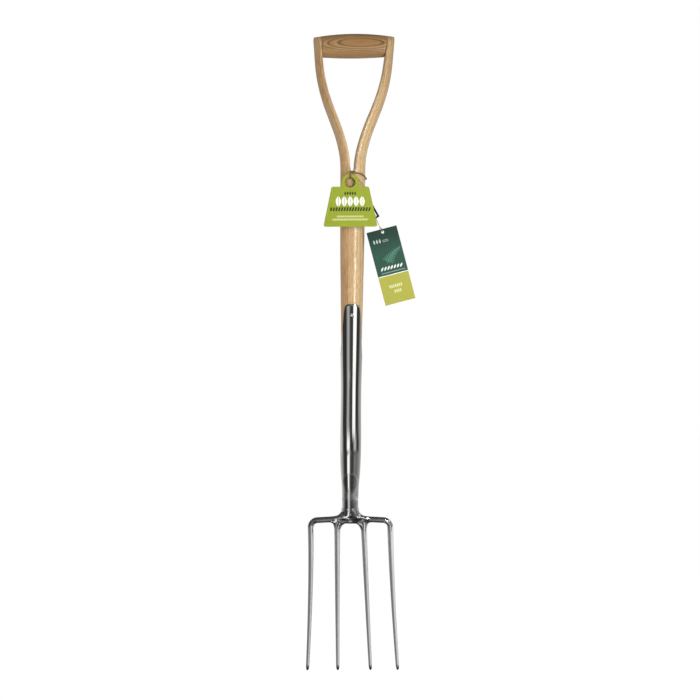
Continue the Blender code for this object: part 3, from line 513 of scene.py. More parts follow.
def eased(ring, rounds):
    """A ring with its corners softened by averaging neighbours."""
    for step in range(math.ceil(rounds)):
        strength = 0.5 * min(1.0, rounds - step)
        ring = ring + strength * ((np.roll(ring, 1, 0) + np.roll(ring, -1, 0)) / 2 - ring)
    return ring


def arm_ring(side, z, sides, dome=0.0):
    """An arm's outline: half a rounded section outside and a flat face inside."""
    ring = []
    half = sides // 2
    for column in range(sides):
        index = column if side > 0 else (sides - column) % sides
        if index <= half:
            angle = math.pi * index / half
            reach, depth = math.sin(angle), -math.cos(angle)
        else:
            reach, depth = 0.0, 1 - 2 * (index - half) / half
        inner, outer = arm_edges(side, z)
        if dome:
            into_corner = max(0.0, (dome - ARM_CORNER_START) / (1 - ARM_CORNER_START))
            width = (outer - inner) * (1 - ARM_CORNER_LOSS * into_corner**2)
            radius = grip_radius(inner + width * reach)
            height = grip_axis(inner + width * reach) + dome * radius
            inner = arm_edges(side, height)[0]
            ring.append((inner + width * reach, depth * radius * math.sqrt(max(0.0, 1 - dome**2)), height))
        else:
            x = inner + (outer - inner) * reach
            ring.append((x, depth * arm_half_depth(z, x), z))
    rounds = CORNER_ROUNDS * min((z - THROAT_Z) / CORNER_RISE, 1.0) * math.sqrt(max(0.0, 1 - dome**2))
    return eased(np.array(ring), rounds)


def shaft_radius(z):
    seat = SOCKET_TOP_RADIUS - SOCKET_WALL - FIT_GAP
    if z <= SOCKET_TOP_Z:
        return socket_radius(z) - SOCKET_WALL - FIT_GAP
    return seat + (THROAT_RADIUS - seat) * smooth(SHAFT_STATIONS, (THROAT_Z - z) / SHAFT_LENGTH)


def socket_radius(z):
    share = smooth(SOCKET_STATIONS, (SOCKET_TOP_Z - z) / SOCKET_LENGTH)
    return SOCKET_END_RADIUS + (SOCKET_TOP_RADIUS - SOCKET_END_RADIUS) * share


def make_wishbone():
    """The split shaft: a tube up to the throat and one for each arm, welded where they meet."""
    sides = 64
    angles = turns(sides)
    heights = [SOCKET_TOP_Z - SHAFT_SEAT_LENGTH, *SHAFT_SEAT_ROWS]
    heights += list(np.linspace(-0.45, THROAT_Z - 0.012, 44)) + [THROAT_Z - 0.006, THROAT_Z - 0.002, THROAT_Z]
    rings = []
    for z in heights:
        radius = shaft_radius(z)
        middle = SPLIT_OFFSET * max(0.0, 1 - (THROAT_Z - z) / SPLIT_OFFSET_FADE_LENGTH)
        out = np.abs(np.sin(angles))
        x = middle * (1 - out) + radius * np.sin(angles)
        rings.append(np.stack([x, -radius * np.cos(angles), np.full(sides, z)], axis=1))
    pieces = [tube("shaft", rings, rings)]
    levels = [THROAT_Z + rise for rise in THROAT_ROWS] + list(np.linspace(-0.139, 0.0, 30))
    levels += [GRIP_RADIUS * share for share in (0.25, 0.5, 0.75, 1.0)]
    for side, name in ((-1, "left_arm"), (1, "right_arm")):
        rings = [arm_ring(side, z, sides) for z in levels]
        for degrees in DOME_ROWS:
            dome = math.sin(math.radians(degrees))
            rings.append(arm_ring(side, GRIP_RADIUS + dome * grip_radius(GRIP_HALF_LENGTH), sides, dome))
        rings[0] = np.where(np.abs(rings[0]) < 1e-9, 0.0, rings[0])
        straight = []
        for ring in rings:
            bent = [side * (arm_edges(1, point[2])[1] - THROAT_RADIUS) for point in ring]
            straight.append(ring - np.outer(bent, (1, 0, 0)))
        pieces.append(tube(name, rings, straight))
    piece = join("ash_wishbone", pieces)
    weld(piece)
    return finished(piece, 50)


def make_grip():
    """The barrel with its ends cut parallel to the arms and their edges eased."""
    sides = 72
    angles = turns(sides)
    shares = [0.0, 0.002, 0.006, 0.012, *np.linspace(0.03, 0.97, 32), 0.988, 0.994, 0.998, 1.0]
    rings, grain = [], []
    for share in shares:
        nearest = min(share, 1 - share)
        ease = GRIP_EDGE_EASE * (1 - min(nearest / GRIP_EDGE_SHARE, 1.0)) ** 2
        ring = []
        for angle in angles:
            z = GRIP_RADIUS - GRIP_RADIUS * math.cos(angle)
            left, right = (arm_edges(side, max(z, 0.0))[0] for side in (-1, 1))
            left, right = left + FIT_GAP, right - FIT_GAP
            x = left + (right - left) * share
            radius = grip_radius(x) - ease
            ring.append((x, -radius * math.sin(angle), grip_axis(x) - radius * math.cos(angle)))
        rings.append(np.array(ring))
        grain.append(np.array([(z, y, x) for x, y, z in ring]))
    piece = tube("ash_grip", rings, grain, capped=True)
    weld(piece)
    return finished(piece, 50)


def make_socket():
    """The strapped tube: up the outside, over the rim, down the inside and round the end."""
    sides = 144
    angles = turns(sides)
    folded = np.abs(np.arcsin(np.clip(np.sin(angles), -1, 1))) / (math.pi / 2)
    drop = folded**RIM_POWER / (folded**RIM_POWER + RIM_SHARPNESS * (1 - folded) ** 2)
    rim = SOCKET_TOP_Z - RIM_DROP * drop
    even = SOCKET_TOP_Z - RIM_ROWS_SHARE * RIM_DROP
    walls = []
    for inset, strap_rows, tube_rows in ((0.0, 24, 44), (SOCKET_WALL, 8, 12)):
        rows = [np.full(sides, SOCKET_END_Z + (even - SOCKET_END_Z) * row / tube_rows) for row in range(tube_rows)]
        rows += [even + (rim - even) * row / strap_rows for row in range(strap_rows + 1)]
        wall = []
        for heights in rows:
            radii = np.array([socket_radius(z) - inset for z in heights])
            wall.append(np.stack([radii * np.sin(angles), -radii * np.cos(angles), heights], axis=1))
        walls.append(wall)
    piece = tube("steel_socket", walls[0] + walls[1][::-1] + [walls[0][0]])
    weld(piece)
    in_edit(
        piece,
        lambda: bpy.ops.mesh.select_mode(type="EDGE"),
        lambda: bpy.ops.mesh.select_all(action="DESELECT"),
        lambda: bpy.ops.mesh.edges_select_sharp(sharpness=math.radians(50)),
    )
    for edge in piece.data.edges:
        edge.select = edge.select and piece.data.vertices[edge.vertices[0]].co.z > SOCKET_END_Z + SOCKET_WALL
    bpy.ops.object.mode_set(mode="EDIT")
    bpy.ops.mesh.bevel(offset=RIM_EDGE, segments=3, affect="EDGES")
    bpy.ops.mesh.select_mode(type="VERT")
    bpy.ops.object.mode_set(mode="OBJECT")
    return finished(piece, 40)


def make_screw():
    """The front screw: a low domed head with crossed slots, and its shank."""
    sides = 48
    face = -socket_radius(SCREW_Z) - SCREW_PROUD
    shank = face + 2 * SCREW_PROUD + SCREW_CONE_LENGTH
    profile = [
        (SCREW_HEAD_RADIUS * share, face + SCREW_PROUD * (1.4 * share**2 - 0.4))
        for share in (0.03, 0.12, 0.25, 0.4, 0.55, 0.7, 0.82, 0.91, 0.97)
    ]
    profile += [(SCREW_HEAD_RADIUS, face + SCREW_PROUD), (SCREW_HEAD_RADIUS, face + 2 * SCREW_PROUD)]
    profile += [(SCREW_SHANK_RADIUS, shank), (SCREW_SHANK_RADIUS, face + SCREW_LENGTH - SCREW_POINT_LENGTH)]
    profile += [(0.1 * SCREW_SHANK_RADIUS, face + SCREW_LENGTH)]
    rings = [
        [(radius * math.cos(a), y, SCREW_Z + radius * math.sin(a)) for a in turns(sides)]
        for radius, y in profile
    ]
    screw = tube("front_screw_head", rings, capped=True)
    weld(screw, 0.000001)
    for degrees in SCREW_SLOT_TURNS:
        bpy.ops.mesh.primitive_cube_add(location=(0, face, SCREW_Z), rotation=(0, math.radians(degrees), 0))
        slot = bpy.context.object
        slot.scale = SCREW_SLOT_HALF_SIZE
        bpy.ops.object.transform_apply()
        cut = screw.modifiers.new("slot", "BOOLEAN")
        cut.operation, cut.solver, cut.object = "DIFFERENCE", "EXACT", slot
        finished(screw)
        bpy.data.objects.remove(slot)
    return finished(screw, 30)


# Shapes of the head, worked out flat and then lifted and leaned

def tine_half_size(z):
    start = CROWN_TOP_Z - ROOT_DROP
    share = np.clip((start - z) / (start - TIP_Z), 0, None)
    size = TINE_HALF_SIZE - TINE_TAPER * share**TINE_TAPER_POWER
    into_tip = np.clip((TIP_Z + TINE_TIP_LENGTH - z) / TINE_TIP_LENGTH, 0, 1)
    bulge = (1 - into_tip ** TINE_TIP_POWERS[0]) ** TINE_TIP_POWERS[1]
    return TINE_TIP_HALF_SIZE + (size - TINE_TIP_HALF_SIZE) * bulge


def tine_x(foot_x, splay, power, z):
    start = CROWN_TOP_Z - ROOT_DROP
    return foot_x + splay * np.clip((start - z) / (start - TIP_Z), 0, None) ** power


def outer_splay(x):
    return np.where(x < 0, OUTER_LEFT_SPLAY, OUTER_RIGHT_SPLAY)


def shoulder_z(x):
    """The shoulder bar's middle line, bending down softly towards its corners."""
    beyond = np.abs(x) - SHOULDER_BEND_X
    return CROWN_TOP_Z - SHOULDER_DROP - SHOULDER_SLOPE * (beyond + np.sqrt(beyond**2 + SHOULDER_BEND_EASE**2)) / 2


CORNER_X = OUTER_TINE_X - CORNER_RADIUS
CORNER_Z = float(shoulder_z(np.array(CORNER_X))) - CORNER_RADIUS


def section_field(across, deep, half_size):
    """Below 0 inside a tine's section: a square on its corner, with its sides swelled and its edges eased."""
    power = TINE_SECTION_POWER / 2
    total = (across**2 + TINE_EDGE_EASE**2) ** power + (deep**2 + TINE_EDGE_EASE**2) ** power
    return (total - TINE_EDGE_EASE**TINE_SECTION_POWER) ** (1 / TINE_SECTION_POWER) - half_size


def blend_fields(first, second, ease):
    """The two shapes as one, with a fillet where they meet."""
    near = np.clip(ease - np.abs(first - second), 0, None) / ease
    return np.minimum(first, second) - near**2 * ease / 4


def outer_field(x, y, z):
    """The shoulder bar, its corners and the outer tines, as one bent bar."""
    beside = np.abs(x)
    down = beside - tine_x(OUTER_TINE_X, outer_splay(x), SPLAY_POWER, z)
    corner = np.hypot(beside - CORNER_X, z - CORNER_Z) - CORNER_RADIUS
    level = z - shoulder_z(x)
    across = np.where(z < CORNER_Z, down, np.where(beside > CORNER_X, corner, level))
    return np.maximum(section_field(across, y, tine_half_size(z)), TIP_Z - z)


def inner_field(x, y, z):
    """The inner tines with their webbed roots."""
    beside = np.abs(x)
    drop = CROWN_TOP_Z - z
    across = beside - tine_x(INNER_TINE_X, INNER_TINE_SPLAY, 1.0, z)
    tine = np.maximum(section_field(across, y, tine_half_size(z)), np.maximum(TIP_Z - z, SHOULDER_DROP - drop))
    columns = list(zip(*ROOT_SECTIONS))
    inner, outer, depth = (np.interp(drop, columns[0], columns[item]) for item in (1, 2, 3))
    half_width = (outer - inner) / 2
    stretched = (beside - (inner + outer) / 2) * TINE_HALF_SIZE / half_width
    root = section_field(stretched, y / depth, TINE_HALF_SIZE)
    return np.minimum(tine, np.maximum(root, np.maximum(drop - columns[0][-1], columns[0][0] - drop)))


def crown_field(x, y, z):
    """The crown's round neck below the socket, and the flatter flare at its sides."""
    drop = CROWN_TOP_Z - z
    columns = list(zip(*CROWN_SECTIONS))
    width, depth = (np.interp(drop, columns[0], columns[item]) for item in (1, 2))
    wing = np.minimum(depth, WING_DEPTH)
    flare = (np.sqrt((x / width) ** 2 + (y / wing) ** 2) - 1) * wing
    neck = (np.sqrt((x / NECK_RADIUS) ** 2 + (y / depth) ** 2) - 1) * np.minimum(depth, NECK_RADIUS)
    inside = blend_fields(flare, neck, NECK_FILLET)
    return np.maximum(inside, drop - columns[0][-1])


def head_field(places):
    """Below 0 inside the head and above 0 outside it."""
    x, y, z = places.T
    tines = blend_fields(outer_field(x, y, z), inner_field(x, y, z), TINE_FILLET)
    return blend_fields(tines, crown_field(x, y, z), CROWN_FILLET)


def head_slope(places):
    step = 0.00002
    slopes = []
    for axis in np.eye(3) * step:
        slopes.append((head_field(places + axis) - head_field(places - axis)) / (2 * step))
    return np.stack(slopes, axis=1)


def lift_head(places):
    """Flat places moved to where they are: lifted forward below the crown, leaned and tilted."""
    x, y, z = places.T
    drop = np.clip(CROWN_TOP_Z - z, 0, None)
    lifted = y - (HEAD_LIFT * drop**2 / (drop + HEAD_LIFT_EASE) + HEAD_LIFT_GROWTH * drop**2)
    fade = np.clip(drop / SHOULDER_DROP, 0, 1)
    across = x + drop * math.tan(HEAD_LEAN)
    return np.stack([across, lifted, z + fade * x * math.tan(HEAD_TILT)], axis=1)


ROUGH_BAR_SHARE = 0.93
SKIN_SIZE = 0.0006
SKIN_ROUNDS = 4


def rough_bar(name, path, half_size, deep=None):
    """A plain bar along a path of (x, z), as a start for the head's skin."""
    rings = []
    for index, (x, z) in enumerate(path):
        before, after = path[max(index - 1, 0)], path[min(index + 1, len(path) - 1)]
        along = Vector((after[0] - before[0], after[1] - before[1])).normalized()
        size = half_size(index, z)
        rings.append([
            (x - along.y * size * math.cos(a), (deep or size) * math.sin(a), z + along.x * size * math.cos(a))
            for a in turns(12)
        ])
    return tube(name, rings, capped=True)


def make_head():
    """Crown and tines without a seam: rough bars, one skin over them, and the skin drawn onto the shape."""
    low = TIP_Z + TINE_TIP_HALF_SIZE
    heights = np.append(np.linspace(CORNER_Z, low + TINE_TIP_LENGTH, 14), np.linspace(low + 0.006, low, 4))
    arc = [
        (CORNER_X + CORNER_RADIUS * math.cos(a), CORNER_Z + CORNER_RADIUS * math.sin(a))
        for a in np.linspace(0.0, math.pi / 2, 7)
    ]

    def tine_size(index, z):
        return ROUGH_BAR_SHARE * float(tine_half_size(np.array(z)))

    sides = []
    for side, splay in ((-1, OUTER_LEFT_SPLAY), (1, OUTER_RIGHT_SPLAY)):
        down = [(float(tine_x(OUTER_TINE_X, splay, SPLAY_POWER, z)), float(z)) for z in heights[:0:-1]]
        sides.append([(side * x, z) for x, z in down + arc])
    pieces = [rough_bar("outer_bar", sides[0] + sides[1][::-1], tine_size)]
    for side in (-1, 1):
        path = [(side * float(tine_x(INNER_TINE_X, INNER_TINE_SPLAY, 1.0, z)), float(z)) for z in heights]
        path = [(path[0][0], CROWN_TOP_Z - SHOULDER_DROP)] + path[1:]
        pieces.append(rough_bar("inner_bar", path, tine_size))
        webs = [(side * (inner + outer) / 2, CROWN_TOP_Z - drop) for drop, inner, outer, _ in ROOT_SECTIONS]
        halves = [(outer - inner) / 2 for _, inner, outer, _ in ROOT_SECTIONS]
        pieces.append(rough_bar("web", webs, lambda index, z: halves[index], TINE_HALF_SIZE))
    rings = []
    for drop, width, depth in ((-0.004, SOCKET_END_RADIUS, SOCKET_END_RADIUS), *CROWN_SECTIONS):
        rings.append([(width * math.sin(a), -depth * math.cos(a), CROWN_TOP_Z - drop) for a in turns(32)])
    pieces.append(tube("crown", rings, capped=True))
    for piece in pieces:
        weld(piece)
    piece = join("steel_head", pieces)
    remesh = piece.modifiers.new("one skin", "REMESH")
    remesh.mode, remesh.voxel_size = "VOXEL", SKIN_SIZE
    finished(piece)
    for rounds in range(SKIN_ROUNDS):
        if rounds:
            ease = piece.modifiers.new("even spacing", "SMOOTH")
            ease.factor, ease.iterations = 0.5, 4
            finished(piece)
        places = points_of(piece)
        for _ in range(4):
            slope = head_slope(places)
            step = head_field(places) / np.maximum((slope**2).sum(axis=1), 0.1)
            places -= np.clip(step, -SKIN_SIZE, SKIN_SIZE)[:, None] * slope
        move_points(piece, places)

    def cut_top():
        bpy.ops.mesh.bisect(plane_co=(0, 0, SOCKET_END_Z), plane_no=(0, 0, 1), clear_outer=True, use_fill=True)

    in_edit(piece, cut_top)
    move_points(piece, lift_head(points_of(piece)))
    weld(piece, 0.000001)
    return finished(piece, 60)


# Cords

def smooth_route(route, spacing):
    """Points at even spacing along a smooth curve through a route's points."""
    points = [Vector(point) for point in route]
    ends = [2 * points[0] - points[1], *points, 2 * points[-1] - points[-2]]
    fine = []
    for a, b, c, d in zip(ends, ends[1:], ends[2:], ends[3:]):
        for step in range(16):
            t = step / 16
            cubic = (3 * b - a - 3 * c + d) * t**3 + (2 * a - 5 * b + 4 * c - d) * t**2
            fine.append((cubic + (c - a) * t) / 2 + b)
    fine.append(points[-1])
    lengths = np.cumsum([0.0] + [(q - p).length for p, q in zip(fine, fine[1:])])
    count = max(2, round(lengths[-1] / spacing))
    even = np.linspace(0, lengths[-1], count + 1)
    columns = [np.interp(even, lengths, [point[axis] for point in fine]) for axis in range(3)]
    return [Vector(point) for point in zip(*columns)], float(lengths[-1])


def twisted(name, route, diameter, strands, pitch, sides=8):
    """A cord of strands twisted round each other along a route, with its centreline and length."""
    points, length = smooth_route(route, diameter / 5)
    strand_radius = diameter / 2 * STRAND_SHARES[strands]
    offset = diameter / 2 - strand_radius
    across = (points[1] - points[0]).orthogonal().normalized()
    frames = []
    for index, point in enumerate(points):
        tangent = (points[min(index + 1, len(points) - 1)] - points[max(index - 1, 0)]).normalized()
        across = (across - across.dot(tangent) * tangent).normalized()
        frames.append((point, across, tangent.cross(across)))
    pieces = []
    for strand in range(strands):
        rings, grain = [], []
        for index, (point, first, second) in enumerate(frames):
            run = length * index / (len(points) - 1)
            twist = 2 * math.pi * (run / pitch + strand / strands)
            centre = point + offset * (math.cos(twist) * first + math.sin(twist) * second)
            shrink = STRAND_END_SHARE if index in (0, len(points) - 1) else 1.0
            ring, marks = [], []
            for angle in turns(sides):
                out = math.cos(angle + twist) * first + math.sin(angle + twist) * second
                ring.append(centre + strand_radius * shrink * out)
                marks.append((run, angle / (2 * math.pi) * 0.001 + 0.01 * strand, strand))
            rings.append(ring)
            grain.append(marks)
        pieces.append(tube(f"{name}_strand", rings, grain, capped=True))
    piece = join(name, pieces)
    weld(piece, 0.000001)
    return finished(piece, 60), points, length


def knot_route(place, half_sizes, inset):
    """A closed trefoil inside a knot's lump."""
    reach = [size - inset for size in half_sizes]
    route = []
    for step in range(37):
        t = 2 * math.pi * step / 36
        x = (math.sin(t) + 2 * math.sin(2 * t)) / 3
        z = (math.cos(t) - 2 * math.cos(2 * t)) / 3
        y = -math.sin(3 * t)
        route.append((place[0] + reach[0] * x, place[1] + reach[1] * y * 0.8, place[2] + reach[2] * z))
    return route


# Finishes

def ash_finish(name, light, dark, layer, period, phase, tilt, figure, wander, ringed, flecked,
               top_darkening=0.0, fine=1.0, crisp=False, heart=None):
    """Lacquered ash: growth layers cut by the surface, broad bands, fibres, short flecks and open pores."""
    finish = Finish(name)
    vector, x, y, z = finish.place("grain")
    drift = finish.noise(vector, (18.0, 18.0, wander), detail=2.0)
    depth = x * layer[0] + y * layer[1] + z * tilt
    rings = (depth / period + phase + (drift - 0.5) * figure).fraction()
    late = rings.rise(0.40, 0.88) * rings.rise(1.0, 0.95)
    if crisp:
        line = rings.rise(0.64, 0.80) * rings.rise(1.0, 0.94)
        pale = rings.rise(0.02, 0.10) * rings.rise(0.42, 0.26)
    else:
        line = rings.rise(0.80, 0.90) * rings.rise(1.0, 0.96)
        pale = rings.rise(0.17, 0.05)
    fibres = finish.noise(vector, (1500.0, 1500.0, 28.0), detail=4.0, roughness=0.65)
    streaks = finish.noise(vector, (330.0, 330.0, 9.0), detail=3.0)
    broad = finish.noise(vector, (75.0, 75.0, 5.0), detail=2.0)
    clouds = finish.noise(vector, (30.0, 30.0, 14.0), detail=2.0)
    flecks = finish.noise(vector, (800.0, 800.0, 110.0), detail=2.0, roughness=0.6)
    pores = finish.noise(vector, (2100.0, 2100.0, 130.0), detail=1.0).rise(0.60, 0.72)
    pores = pores * (0.4 + 0.6 * late)
    growth = late * (0.05 if crisp else 0.35) + line * 0.45 - pale * 0.25
    tone = growth * ringed + (streaks - 0.5) * (0.45 * fine) + (fibres - 0.5) * (0.35 * fine)
    tone = tone + (broad - 0.5) * (0.75 * fine) + (clouds - 0.5) * 0.35
    tone = tone + (flecks - 0.5) * flecked + pores * 0.30 + 0.28
    # Darker towards the top of the arms, by the given amount.
    tone = tone + z.rise(-0.15, -0.02) * top_darkening
    if not crisp:
        # Painted shade down the left of the lower shaft, and a painted highlight as a lighter band just right of
        # its front.
        painted_shade_and_highlight = x.rise(-0.001, -0.009) * 0.18 - band(x, -0.002, 0.005, 0.002) * 0.22
        tone = tone + painted_shade_and_highlight * z.rise(-0.290, -0.325)
    tone = tone.larger(0.0).smaller(1.0)
    colour = finish.mix(tone, light, dark)
    if not crisp:
        warm = finish.mix(z.rise(-0.10, -0.17), (1.01, 1.0, 0.98), (1.06, 0.965, 0.88))
        side = finish.mix(x.rise(-0.013, 0.013), warm, (0.92, 0.96, 0.91))
        colour = finish.mix(1.0, colour, side, "MULTIPLY")
    if heart:
        red = tuple(channel * share for channel, share in zip(light, (0.74, 0.46, 0.32)))
        colour = finish.mix(depth.rise(heart - 0.0007, heart - 0.0001) * 0.50, colour, red)
    colour = finish.mix(pores * 0.45, colour, shade(dark, 0.55))
    height = (1.0 - pores) * 0.6 + fibres * 0.25 + flecks * 0.5
    gloss = finish.noise(vector, (380.0, 380.0, 300.0), detail=2.0, roughness=0.6).rise(0.46, 0.58)
    return finish.set(
        base_color=colour,
        roughness=0.40 + fibres * 0.14 + pores * 0.2,
        normal=finish.bump(height, 0.45, 0.00022),
        specular_ior_level=0.35,
        coat_weight=0.15 + gloss * 0.80,
        coat_roughness=0.14,
    )


def polished_finish():
    """Mirror polished stainless steel with fine polishing lines and smears."""
    finish = Finish("polished stainless steel")
    vector, *_ = finish.place()
    waves = finish.noise(vector, (26.0, 26.0, 11.0), detail=0.0)
    lines = finish.noise(vector, (2600.0, 2600.0, 60.0), detail=2.0)
    smears = finish.noise(vector, (60.0, 60.0, 35.0), detail=4.0, roughness=0.6)
    rough = 0.05 + smears.rise(0.45, 0.8) * 0.05 + lines * 0.02
    height = waves + lines * 0.004
    tint = finish.mix(smears.rise(0.3, 0.8) * 0.5, (0.90, 0.895, 0.88), (0.82, 0.805, 0.775))
    return finish.set(base_color=tint, metallic=1.0, roughness=rough, normal=finish.bump(height, 0.22, 0.0003))


def head_finish():
    """Polished at the crown, satin down the tines, and darker at the points."""
    finish = Finish("satin stainless steel")
    vector, _, _, z = finish.place()
    smears = finish.noise(vector, (70.0, 70.0, 30.0), detail=4.0, roughness=0.6)
    lines = finish.noise(vector, (1700.0, 1700.0, 45.0), detail=3.0)
    ground = (z + (smears - 0.5) * 0.05).rise(-0.70, -0.80)
    points = (z + (smears - 0.5) * 0.004).rise(-0.9045, -0.9115)
    rough = 0.10 + ground * 0.10 + lines * (0.02 + ground * 0.05) + smears.rise(0.45, 0.8) * 0.05
    tint = finish.mix(ground, (0.86, 0.86, 0.855), (0.82, 0.82, 0.815))
    tint = finish.mix(points * 0.93, tint, (0.012, 0.012, 0.013))
    waves = finish.noise(vector, (40.0, 40.0, 20.0), detail=0.0)
    height = waves + lines * 0.02
    return finish.set(base_color=tint, metallic=1.0, roughness=rough, normal=finish.bump(height, 0.20, 0.0002))


def screw_finish():
    """A plated screw painted white in place of its bright reflections, with painted shade in its slots and round
    its edge.
    """
    finish = Finish("plated screw")
    vector, x, _, z = finish.place()
    rise = z - SCREW_Z
    reach = (x * x + rise * rise) ** 0.5
    turned = math.radians(SCREW_SLOT_TURNS[0])
    first = abs(x * math.sin(turned) + rise * math.cos(turned))
    second = abs(x * math.cos(turned) - rise * math.sin(turned))
    # Painted shade: in the slots, and in a ring round the head's edge.
    slots = first.smaller(second).rise(0.0009, 0.0005) * reach.rise(0.0024, 0.0020)
    dark = slots.larger(reach.rise(0.0022, 0.0026))
    grime = finish.noise(vector, scale=600.0, detail=3.0)
    # White in place of reflected light, near black where the shade is painted.
    colour = finish.mix(dark, (1.0, 0.99, 0.96), (0.010, 0.010, 0.010))
    return finish.set(base_color=colour, metallic=0.0, roughness=0.35 + grime * 0.15)


def fixing_finish():
    """Plain turned steel for screws, rod and washers."""
    finish = Finish("plain fixing steel")
    vector, *_ = finish.place()
    grime = finish.noise(vector, scale=600.0, detail=4.0, roughness=0.6)
    tint = finish.mix(grime.rise(0.45, 0.8), (0.84, 0.83, 0.81), (0.50, 0.49, 0.47))
    normal = finish.bump(grime, 0.1, 0.0001)
    return finish.set(base_color=tint, metallic=1.0, roughness=0.10 + grime * 0.16, normal=normal)


def card_place(finish, place, turn):
    """Millimetres from a card's hole as a vector, the same across and up the turned card, and y in metres."""
    _, x, y, z = finish.place()
    x, z = (x - place[0]) * 1000.0, (z - place[1]) * 1000.0
    across = x * math.cos(turn) + z * math.sin(turn)
    return finish.vector(x, 0.0, z), across, z * math.cos(turn) - x * math.sin(turn), y


def card_surface(finish, moved, colour, roughness):
    """Matt paper with its fibres."""
    fibre = finish.noise(moved, scale=2.5, detail=3.0)
    normal = finish.bump(fibre, 0.15, 0.00005)
    return finish.set(base_color=colour, roughness=roughness + fibre * 0.12, specular_ior_level=0.2, normal=normal)


def lens(along, beside, length, width):
    """A pointed oval, as a leaf or a seed."""
    half = (1.0 - (along / length) ** 2.0) * width
    return (half - abs(beside)).rise(-0.05, 0.25)


def lime_finish(lime, green):
    """The lime card: seeds, a row of leaves, slanted ticks and two rows of beads, on the front only."""
    finish = Finish("lime printed card")
    moved, across, up, y = card_place(finish, WEIGHT_TAG_PLACE, WEIGHT_TAG_TURN)
    front = y.rise(-0.02315, -0.02335)
    centre = across + 0.2

    def cell(pitch):
        """The distance from the middle of the nearest of a row of cells."""
        return ((centre / pitch + 0.5).fraction() - 0.5) * pitch

    def row(low, high, half_width):
        return band(up, low, high, 0.3) * band(centre, -half_width, half_width, 0.3)

    seeds = lens(up + 16.6, cell(3.7), 3.1, 1.45) * band(centre, -9.2, 9.2, 0.3)
    leaves = lens(up + 28.5, cell(8.9), 8.3, 3.9) * (abs(cell(8.9)) - 0.3).rise(0.0, 0.3)
    leaves = leaves * band(centre, -22.2, 22.2, 0.3)
    ticks = band(abs(cell(4.1) - (up + 40.2) * 0.28), -1.0, 1.35, 0.2) * band(up, -43.0, -37.4, 0.3)
    ticks = ticks * band(centre, -30.7, 30.7, 0.3)
    beads = band(abs(cell(2.5)), -1.0, 0.85, 0.2) * row(-52.3, -49.7, 20.0)
    beads = beads.larger(band(abs(cell(2.2)), -1.0, 0.8, 0.2) * row(-56.9, -54.3, 26.5))
    paper = finish.noise(moved, scale=0.35, detail=4.0, roughness=0.6)
    colour = finish.mix(paper.rise(0.3, 0.7) * 0.25, lime, shade(lime, 0.86))
    # Painted shade round the hole's edge, as a dark brown ring.
    rim = (across * across + up * up) ** 0.5
    colour = finish.mix(rim.rise(8.4, 7.7) * 0.75, colour, (0.085, 0.062, 0.014))
    colour = finish.mix(seeds.larger(ticks) * front * 0.95, colour, green)
    colour = finish.mix(leaves * front * 0.97, colour, (0.92, 0.94, 0.84))
    colour = finish.mix(beads * front * 0.60, colour, (0.80, 0.84, 0.48))
    return card_surface(finish, moved, colour, 0.52)


def green_finish(lime, green):
    """The swing card: dark green over lime, with three small leaves, a fern, a garland and white rules."""
    finish = Finish("green printed card")
    moved, across, up, y = card_place(finish, SWING_TAG_PLACE, SWING_TAG_TURN)
    front = y.rise(-0.0195, -0.0197)
    paper = finish.noise(moved, scale=0.3, detail=4.0, roughness=0.6)

    def cell(pitch, start=0.0):
        return (((across - start) / pitch).fraction() - 0.5) * pitch

    deep = shade(green, 0.50)
    colour = finish.mix(paper.rise(0.3, 0.75) * 0.3, green, shade(green, 1.25))
    colour = finish.mix(up.rise(-34.0, 0.0) * 0.9, colour, deep)
    side, rise = across + 5.0, up + 47.0
    stem = side * 0.54 + rise * 0.84
    beside = side * 0.84 - rise * 0.54 - stem * stem * 0.012
    reach = 11.5 - stem * 0.30
    swept = ((stem - abs(beside) * 0.75) / 3.7).fraction() - 0.5
    share = abs(beside) / reach
    fern = (0.37 * (1.0 - share * share) - abs(swept)).rise(-0.02, 0.06) * band(stem, 2.5, 33.0, 0.6)
    fern = fern.larger((0.4 - abs(beside)).rise(-0.1, 0.2) * band(stem, -1.0, 33.5, 0.5))
    fern = fern * band(across, -18.5, 19.5, 0.8)
    colour = finish.mix(fern * front * 0.60, colour, (0.10, 0.29, 0.21))
    marks = lens(up + 12.2, cell(4.3, -18.5), 3.6, 1.3) * band(across, -18.5, -5.6, 0.2)
    dashes = band(abs(cell(1.9)), -1.0, 0.7, 0.15) * band(across, -4.0, 5.0, 0.3)
    dashes = dashes * band(up, -14.8, -13.8, 0.2).larger(band(up, -12.6, -11.6, 0.2))
    slanted, level = cell(4.9, -17.3), up + 54.2
    garland = lens(slanted * 0.6 + level * 0.8, slanted * 0.8 - level * 0.6, 3.7, 1.45)
    garland = garland * band(across, -17.3, 17.0, 0.2)
    rule = band(abs(cell(1.9)), -1.0, 0.55, 0.15) * band(up, -61.4, -60.0, 0.25) * band(across, -17.5, 19.5, 0.3)
    pale = (marks * 0.6).larger(dashes * 0.5).larger(garland * 0.88).larger(rule * 0.45)
    colour = finish.mix(pale * front, colour, (0.78, 0.84, 0.78))
    edge = up.rise(3.6, 4.2).larger(across.rise(-22.9, -23.4)).larger(across.rise(21.6, 22.1))
    colour = finish.mix(edge * 0.55, colour, shade(green, 0.25))
    ground = finish.mix(paper.rise(0.3, 0.75) * 0.3, lime, shade(lime, 0.88))
    bars = (band(up, -84.5, -80.0, 0.3) * band(across, -11.6, 8.7, 0.3)).larger(
        band(up, -92.5, -88.0, 0.3) * band(across, -5.8, 5.8, 0.3)
    )
    bars = bars * band(abs(cell(2.9)), -1.0, 1.0, 0.25)
    ground = finish.mix(bars * front * 0.55, ground, (0.84, 0.86, 0.55))
    colour = finish.mix(up.rise(-64.6, -65.1), colour, ground)
    colour = finish.mix(band(up, -65.4, -64.3, 0.15) * front, colour, (0.85, 0.88, 0.82))
    return card_surface(finish, moved, colour, 0.5)


